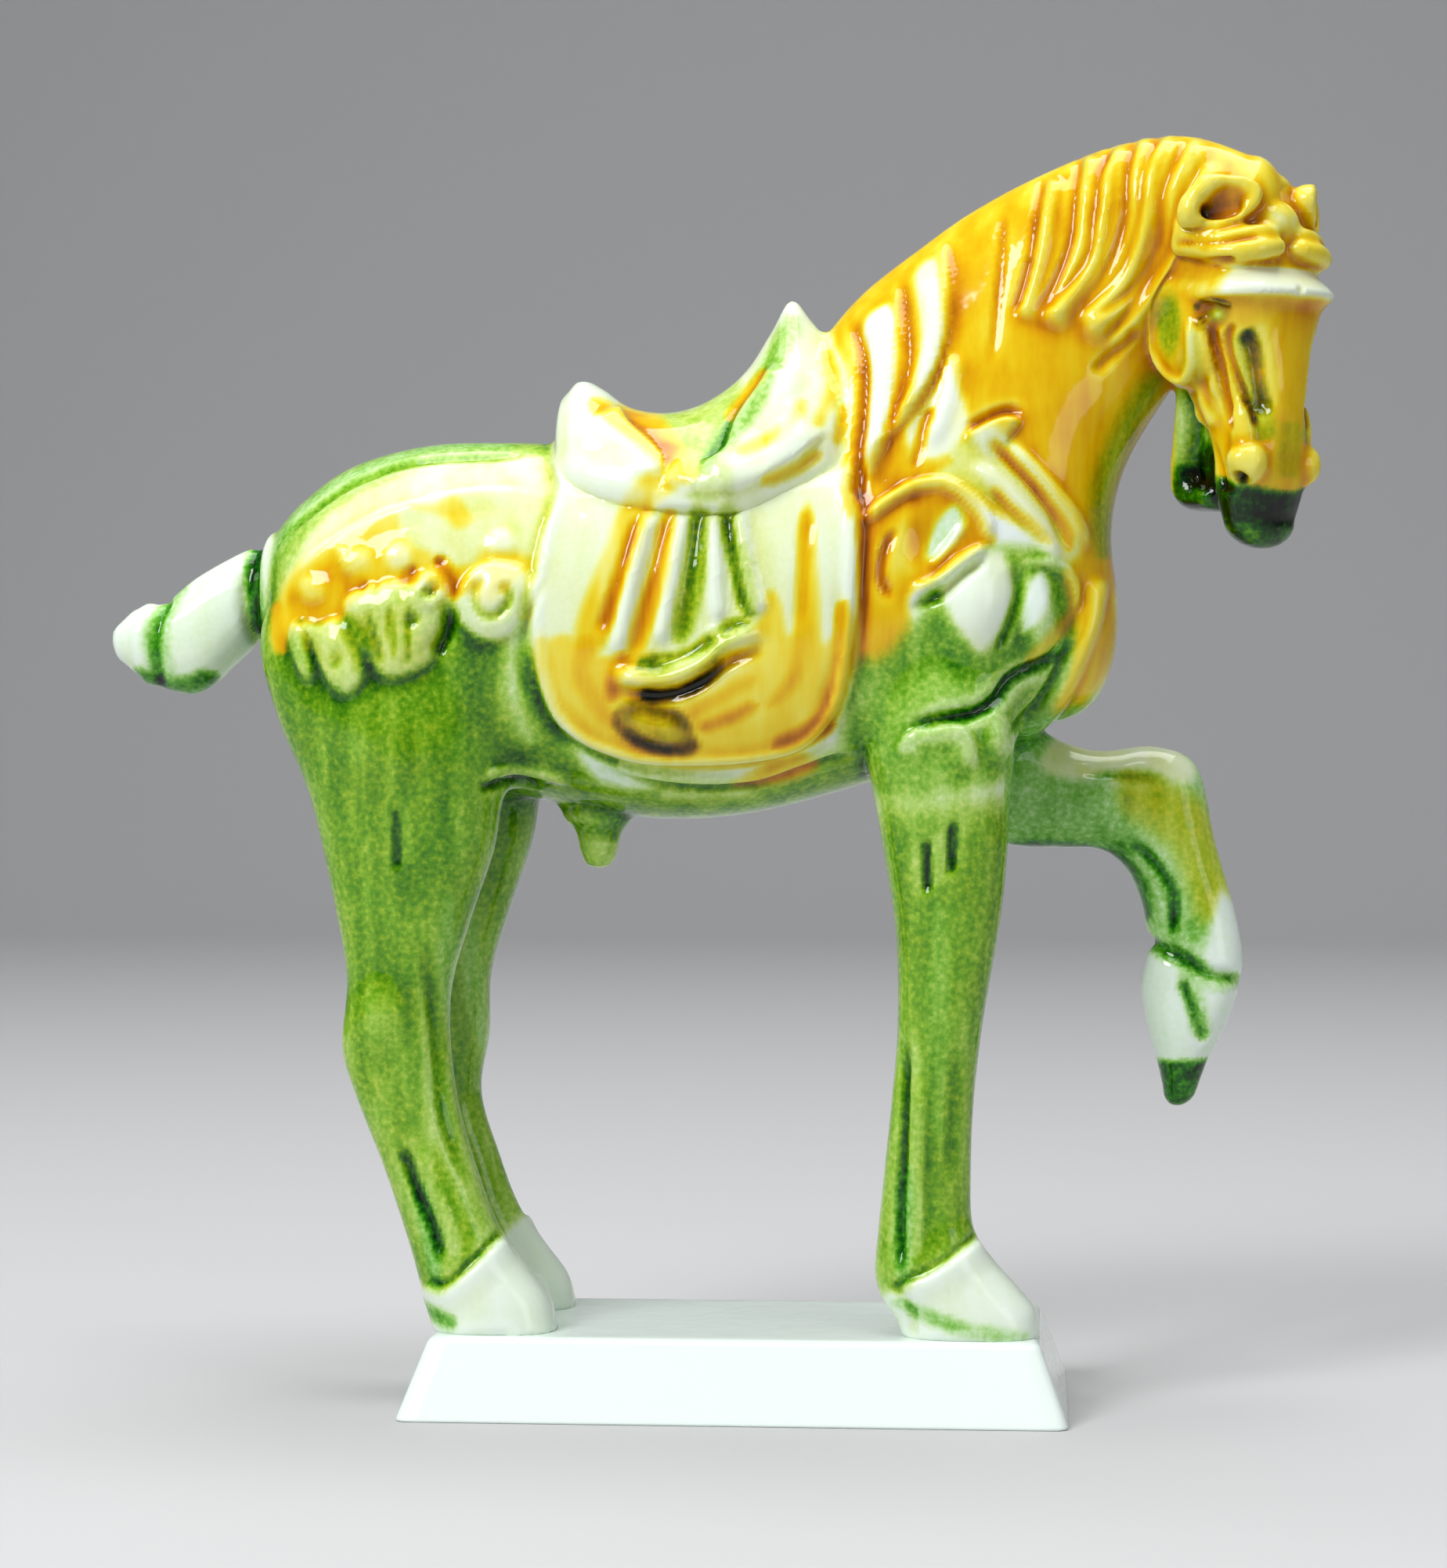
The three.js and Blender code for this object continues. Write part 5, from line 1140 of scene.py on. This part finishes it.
def glaze_head(glaze):
    """An amber face with green in its hollows, a pale brow whitened further as a painted highlight, and a muzzle nearly
    black.
    """
    marks = HeadMarks(glaze.points)
    at = marks.at
    head = (1 - step_up(np.hypot(at[:, 0] + 8, at[:, 1]), 14, 16)) * step_up(at[:, 2], 96, 98)
    below = step_up(glaze.points[:, 0], 50.2, 51)
    beside = np.maximum(step_up(at[:, 0], -13, -12), step_up(-at[:, 1], 6.4, 7.2) * step_up(at[:, 0], -16.4, -15.6))
    head *= np.where(at[:, 2] < 119, below, beside)
    glaze.lay(head, amber=0.85)

    def dab(centre, radii, amber=0.0, green=0.0, share=1.0):
        glaze.lay(share * step_up(marks.dab(centre, radii), 0, 0.7), amber, green)

    def stroke(path, half, amber=0.0, green=0.0, ends=0.15, share=1.0):
        glaze.lay(share * step_up(marks.stroke(path, half, ends), 0, 0.8), amber, green)

    # The brow band is painted nearly bare of amber: a pale glaze pushed to white as a painted highlight of the light
    # from above on its upward face.
    painted_brow_highlight = step_up(at[:, 2], 127.8, 128.4) * (1 - step_up(at[:, 2], 131.4, 132)) * step_up(at[:, 0], -6, -3.6)
    glaze.lay(0.95 * painted_brow_highlight, amber=0.02)
    stroke([(-11, -9, 130), (-8, -9.4, 129.6), (-5.6, -9.2, 129.2)], 1.4, amber=0.5)
    dab((-11.8, -9.4, 125.2), (3, 3, 5.4), amber=0.4, green=0.42)
    stroke(JOWL_RIM, 0.9, amber=0.5, green=0.08, share=0.8)
    dab((-9.4, -7.6, 121), (2.4, 3, 4.4), amber=0.45, green=0.16, share=0.7)
    stroke([(x - 0.6, y - 0.5, z) for x, y, z in HOLLOW], 2.6, amber=0.5, green=0.35, share=0.7)
    stroke(HOLLOW[:3], 1.8, amber=1.5, green=0.9)
    stroke(HOLLOW[2:], 1.8, amber=0.7, green=0.5)
    stroke([(-8.3, -9, 125.4), (-7.9, -8.6, 121), (-8, -7, 117), (-7.6, -6, 113.5)], 1.4, amber=0.25, green=0.08)
    stroke([(-3, -4.4, 118), (-2.6, -3.6, 114.6), (-2.2, -3, 111.6)], 2.2, amber=0.6, green=0.4, share=0.8)
    stroke([(-1.2, 0, 114.4), (-1.6, -0.4, 110.6), (-1.8, 0, 107.4)], 2.6, amber=0.7, green=0.3, share=0.6)
    dab((-5.6, -8.4, 126), (2.8, 2.6, 2), amber=0.5, green=0.25)
    stroke(UPPER_LID, 0.9, amber=2.4, green=0.6)
    stroke(LOWER_LID, 0.8, amber=2, green=0.4)
    dab((-5.5, -8.4, 125.9), (1.7, 1.8, 1.3), amber=0.1, green=0.12)
    stroke(CHEEK_LINE, 1, amber=2.2, green=0.4)
    stroke(NOSE_LINE, 0.9, amber=2.2, green=0.4)
    dab((-3.9, -5.6, 107.6), (1.4, 2, 1.2), amber=3, green=1)
    stroke([(-9.2, -9, 137), (-7, -8.6, 137.9), (-4.6, -7, 138.6), (-2.8, -5.2, 139)], 1.7, amber=1.7, green=0.1)
    stroke([(-8, -9, 137), (-5.6, -8, 137.4), (-3.4, -6, 137.8)], 1, amber=3, green=0.3)
    stroke(SLOT, 0.8, amber=3.4, green=1)
    stroke([(-10.4, -9, 134.5), (-7.2, -9.8, 134.2), (-4, -8.6, 134.2), (-1.5, -4.8, 134.7)], 0.5, amber=1.5)
    dab((-2.2, -1.6, 136.6), (2, 2.2, 1.8), amber=0.3)
    throat = step_up(-at[:, 0], 11.6, 12.6) * (1 - step_up(at[:, 2], 117.6, 119.4)) * step_up(at[:, 2], 100, 101)
    glaze.lay(throat * head, amber=0.25, green=0.8)
    dab((-13, -2.2, 109), (2.4, 3, 4.6), amber=0.3, green=4)
    stroke([(-17.6, -3.4, 119), (-18.6, -3.6, 112.6), (-18.8, -3.4, 108.4), (-16.8, -3.4, 105)], 0.7,
           amber=0.5, green=0.2, share=0.8)
    stroke(LIP_LINE[:4], 0.7, amber=0.6, green=0.2)
    muzzle = (1 - step_up(at[:, 2] + 0.25 * at[:, 0] + 0.08 * at[:, 1], 104.3, 106)) * head
    glaze.lay(muzzle, amber=0.8, green=4.6)


def glaze_horse(points, edges):
    """Depths of amber and green over the horse, painted region by region. Outside this, the skin's
    recesses and slope make them thinner over edges and on top, deeper in recesses and below, where the melted glaze
    ran."""
    glaze = Glaze(points)
    glaze_rump(glaze)
    glaze_shoulder(glaze)
    glaze_collar(glaze)
    glaze_flap(glaze)
    glaze_underside(glaze)
    glaze_legs(glaze)
    glaze_tail(glaze)
    glaze_head(glaze)
    return glaze.amber, glaze.green


def hollowness(points, normals, edges, rounds):
    """How far each point lies below the smoothed skin, in mm."""
    return np.sum((softened(points, edges, rounds) - points) * normals, axis=1)


# Materials
def linked(tree, kind, label="", **inputs):
    """A node with its sockets set to constants or linked to other nodes' sockets."""
    node = tree.nodes.new(kind)
    node.label = label
    for name, value in inputs.items():
        socket = node.inputs[int(name[1:])] if name[0] == "i" and name[1:].isdigit() else node.inputs[name]
        if isinstance(value, bpy.types.NodeSocket):
            tree.links.new(value, socket)
        else:
            socket.default_value = value
    return node


def maths(tree, operation, *values):
    node = tree.nodes.new("ShaderNodeMath")
    node.operation = operation
    for socket, value in zip(node.inputs, values):
        if isinstance(value, bpy.types.NodeSocket):
            tree.links.new(value, socket)
        else:
            socket.default_value = value
    return node.outputs[0]


def noise(tree, place, scale, detail=3.0, stretch=None):
    if stretch:
        mapping = tree.nodes.new("ShaderNodeMapping")
        mapping.inputs["Scale"].default_value = stretch
        tree.links.new(place, mapping.inputs["Vector"])
        place = mapping.outputs[0]
    node = tree.nodes.new("ShaderNodeTexNoise")
    node.inputs["Scale"].default_value = scale
    node.inputs["Detail"].default_value = detail
    tree.links.new(place, node.inputs["Vector"])
    return node.outputs[0]


CREAM = (0.76, 0.85, 0.81)
AMBER_TAKES = (0.05, 0.9, 7.5)
GREEN_TAKES = (2.1, 0.95, 3.6)


def glaze_group():
    """Light lost in coloured glaze over pale clay: each colour is clay e^-(amber a + green g),
    with the depths stirred by noise in the object's own space."""
    tree = bpy.data.node_groups.new("glaze_over_clay", "ShaderNodeTree")
    for name in ("Amber", "Green"):
        tree.interface.new_socket(name, in_out="INPUT", socket_type="NodeSocketFloat")
    tree.interface.new_socket("Colour", in_out="OUTPUT", socket_type="NodeSocketColor")
    tree.interface.new_socket("Gloss", in_out="OUTPUT", socket_type="NodeSocketFloat")
    tree.interface.new_socket("Ripple", in_out="OUTPUT", socket_type="NodeSocketFloat")
    given = tree.nodes.new("NodeGroupInput")
    made = tree.nodes.new("NodeGroupOutput")
    place = tree.nodes.new("ShaderNodeTexCoord").outputs["Object"]
    broad = noise(tree, place, 140, 3)
    fine = noise(tree, place, 1500, 4)
    streaks = noise(tree, place, 420, 3, (1, 1, 0.16))
    stir = maths(tree, "ADD", 0.5, broad)
    speckle = maths(tree, "ADD", 0.0, maths(tree, "MULTIPLY", fine, 2.0))
    streak = maths(tree, "ADD", 0.25, maths(tree, "MULTIPLY", streaks, 1.5))
    amber = maths(tree, "MULTIPLY", given.outputs["Amber"], maths(tree, "MULTIPLY", stir, streak))
    green = maths(tree, "MULTIPLY", given.outputs["Green"], maths(tree, "MULTIPLY", speckle, streak))
    channels = []
    for clay, amber_takes, green_takes in zip(CREAM, AMBER_TAKES, GREEN_TAKES):
        lost = maths(tree, "ADD", maths(tree, "MULTIPLY", amber, amber_takes),
                     maths(tree, "MULTIPLY", green, green_takes))
        if clay == CREAM[0]:
            lost = maths(tree, "ADD", lost, maths(tree, "MULTIPLY", maths(tree, "POWER", amber, 2.0), 0.12))
        left = maths(tree, "EXPONENT", maths(tree, "MULTIPLY", lost, -1.0))
        channels.append(maths(tree, "MULTIPLY", left, clay))
    colour = tree.nodes.new("ShaderNodeCombineColor")
    for socket, channel in zip(colour.inputs, channels):
        tree.links.new(channel, socket)
    tree.links.new(colour.outputs[0], made.inputs["Colour"])
    tree.links.new(maths(tree, "ADD", 0.03, maths(tree, "MULTIPLY", broad, 0.1)), made.inputs["Gloss"])
    tree.links.new(noise(tree, place, 260, 2), made.inputs["Ripple"])
    return tree


GLAZE = glaze_group()


def glazed(name):
    """A glossy glaze whose depths are the mesh's own amber and green."""
    material = bpy.data.materials.new(name)
    material.use_nodes = True
    tree = material.node_tree
    shader = tree.nodes["Principled BSDF"]
    group = tree.nodes.new("ShaderNodeGroup")
    group.node_tree = GLAZE
    for depth in ("Amber", "Green"):
        source = tree.nodes.new("ShaderNodeAttribute")
        source.attribute_name = depth.lower()
        tree.links.new(source.outputs["Fac"], group.inputs[depth])
    bump = tree.nodes.new("ShaderNodeBump")
    bump.inputs["Strength"].default_value = 0.12
    bump.inputs["Distance"].default_value = 0.0006
    tree.links.new(group.outputs["Ripple"], bump.inputs["Height"])
    tree.links.new(bump.outputs[0], shader.inputs["Normal"])
    tree.links.new(group.outputs["Colour"], shader.inputs["Base Color"])
    tree.links.new(group.outputs["Gloss"], shader.inputs["Roughness"])
    shader.inputs["IOR"].default_value = 1.42
    return material


def dress(name, node, points, triangles, material, amber, green):
    """A finished piece: its mesh in metres with its glaze, riding on the root."""
    mesh = new_mesh(name, points * MM, triangles)
    mesh.polygons.foreach_set("use_smooth", np.ones(len(triangles), bool))
    for label, depth in (("amber", amber), ("green", green)):
        layer = mesh.attributes.new(label, "FLOAT", "POINT")
        layer.data.foreach_set("value", np.ascontiguousarray(np.maximum(depth, 0), np.float32))
    mesh.materials.append(material)
    piece = bpy.data.objects.new(name, mesh)
    bpy.context.scene.collection.objects.link(piece)
    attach(piece, "root")
    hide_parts(node)
    return piece


horse_points, horse_triangles, horse_edges = horse_skin()
horse_amber, horse_green = glaze_horse(horse_points, horse_edges)
horse_normals = normals_of(horse_points, horse_triangles)
recess = hollowness(horse_points, horse_normals, horse_edges, 12)
pooled = np.clip(1 + 4 * recess - 0.2 * horse_normals[:, 2], 0.4, 3)
dress("horse_glazed", "horse", horse_points, horse_triangles,
      glazed("three_colour_glaze"), horse_amber * pooled, horse_green * pooled)


# The plinth
def plinth_slab():
    """A box with sloping sides and rounded edges: rounded rectangles stacked from the foot
    to the top, closed by flat faces."""
    low, high = PLINTH_LOW, PLINTH_HIGH
    height, edge, slope_x, slope_y = high[2] - low[2], 0.8, 3.4, 4.6
    rows = [(0.5, 0.0, 0)]
    rows += [(edge * (1 - math.cos(t)), edge * (1 - math.sin(t)), 0) for t in ()]
    profile = []
    for t in np.linspace(0, np.pi / 2, 6):
        profile.append((0.4 * (1 - math.sin(t)), 0.4 * (1 - math.cos(t))))
    for share in np.linspace(0.1, 0.9, 10):
        profile.append((0, height * share))
    for t in np.linspace(0, np.pi / 2, 8):
        profile.append((edge * (1 - math.cos(t)), height - edge * (1 - math.sin(t))))
    corner, per_side = 1.2, 60
    turn = np.linspace(0, 2 * np.pi, 4 * per_side, endpoint=False) + np.pi / (4 * per_side)
    reach = np.maximum(np.abs(np.cos(turn)), np.abs(np.sin(turn)))
    square_x, square_y = np.cos(turn) / reach, np.sin(turn) / reach
    rings = []
    for inset, z in profile:
        share = z / height
        half_x = (high[0] - low[0]) / 2 - slope_x * share - inset
        half_y = (high[1] - low[1]) / 2 - slope_y * share - inset
        x, y = square_x * half_x, square_y * half_y
        over_x, over_y = np.abs(x) - (half_x - corner), np.abs(y) - (half_y - corner)
        rounded = np.hypot(np.maximum(over_x, 0), np.maximum(over_y, 0))
        pull = np.where((over_x > 0) & (over_y > 0), np.minimum(1, corner / np.maximum(rounded, 1e-9)), 1)
        x = np.where(over_x > 0, np.sign(x) * (half_x - corner + over_x * pull), x)
        y = np.where(over_y > 0, np.sign(y) * (half_y - corner + over_y * pull), y)
        rings.append(np.stack([x, y, np.full(len(x), z)], -1))
    for share in (0.9, 0.75, 0.55, 0.35, 0.15):
        rings.append(rings[len(profile) - 1] * [share, share, 1])
    for share in (0.9, 0.6, 0.3):
        rings.insert(0, rings[0] * [share, share, 1])
    middle = (low + high) / 2
    rings = np.array(rings) + [middle[0], middle[1], low[2]]
    top, bottom = rings[-1].mean(axis=0), rings[0].mean(axis=0)
    return closed_rings(rings, bottom, top)


plinth_points, plinth_triangles = plinth_slab()
plain = np.zeros(len(plinth_points))
dress("plinth_glazed", "plinth", plinth_points, plinth_triangles,
      glazed("cream_glaze"), plain, plain)


# The floor, the light and the camera
def backdrop():
    """A pale floor that sweeps up into a wall behind: a straight, a quarter round, a straight."""
    bend = np.linspace(0, np.pi / 2, 17)
    near, turn_at, radius, top = -1.6, 0.9, 0.5, 2.2
    y = np.concatenate([[near], turn_at + radius * np.sin(bend), [turn_at + radius]])
    z = np.concatenate([[0], radius * (1 - np.cos(bend)), [top]])
    x = np.linspace(-2.4, 2.4, 3)
    grid = np.stack(np.broadcast_arrays(x[None], y[:, None], z[:, None]), -1)
    across = len(x)
    corner = (np.arange(len(y) - 1)[:, None] * across + np.arange(across - 1)).ravel()
    faces = np.stack([corner, corner + 1, corner + across + 1, corner + across], -1)
    mesh = bpy.data.meshes.new("backdrop")
    mesh.from_pydata(grid.reshape(-1, 3).tolist(), [], faces.tolist())
    mesh.polygons.foreach_set("use_smooth", np.ones(len(faces), bool))
    material = bpy.data.materials.new("backdrop_paint")
    material.use_nodes = True
    shader = material.node_tree.nodes["Principled BSDF"]
    shader.inputs["Base Color"].default_value = (0.5, 0.5, 0.51, 1)
    shader.inputs["Roughness"].default_value = 0.8
    mesh.materials.append(material)
    sweep = bpy.data.objects.new("backdrop", mesh)
    bpy.context.scene.collection.objects.link(sweep)


def area_light(name, place, aim, size, power):
    light = bpy.data.lights.new(name, "AREA")
    light.shape = "RECTANGLE"
    light.size, light.size_y = size
    light.energy = power
    lamp = bpy.data.objects.new(name, light)
    lamp.location = place
    direction = Vector(aim) - Vector(place)
    lamp.rotation_euler = direction.to_track_quat("-Z", "Y").to_euler()
    bpy.context.scene.collection.objects.link(lamp)


def photo_camera():
    """Looks from the photograph's side at its distance, a little left of square on."""
    azimuth, elevation, distance = math.radians(4.37), math.radians(1.5), 0.46227
    back = Vector((
        math.sin(azimuth) * math.cos(elevation),
        -math.cos(azimuth) * math.cos(elevation),
        math.sin(elevation),
    ))
    data = bpy.data.cameras.new("camera")
    data.lens = 89.87
    data.shift_x, data.shift_y = -0.0119, 0.0141
    camera = bpy.data.objects.new("camera", data)
    camera.location = Vector((0, 0, 0.07)) + back * distance
    camera.rotation_euler = back.to_track_quat("Z", "Y").to_euler()
    bpy.context.scene.collection.objects.link(camera)
    bpy.context.scene.camera = camera


backdrop()
area_light("window", (-0.5, -0.62, 0.7), (0, 0, 0.09), (0.42, 0.42), 8.5)
area_light("overhead", (0.05, 0.0, 0.95), (0, 0, 0.08), (0.9, 0.7), 9)
area_light("fill", (0.9, -0.8, 0.4), (0, 0, 0.09), (0.4, 0.7), 1.8)
world = bpy.data.worlds.new("soft_room")
world.use_nodes = True
world.node_tree.nodes["Background"].inputs["Color"].default_value = (0.62, 0.64, 0.66, 1)
world.node_tree.nodes["Background"].inputs["Strength"].default_value = 0.26
bpy.context.scene.world = world
bpy.context.scene.view_settings.view_transform = "Standard"
photo_camera()
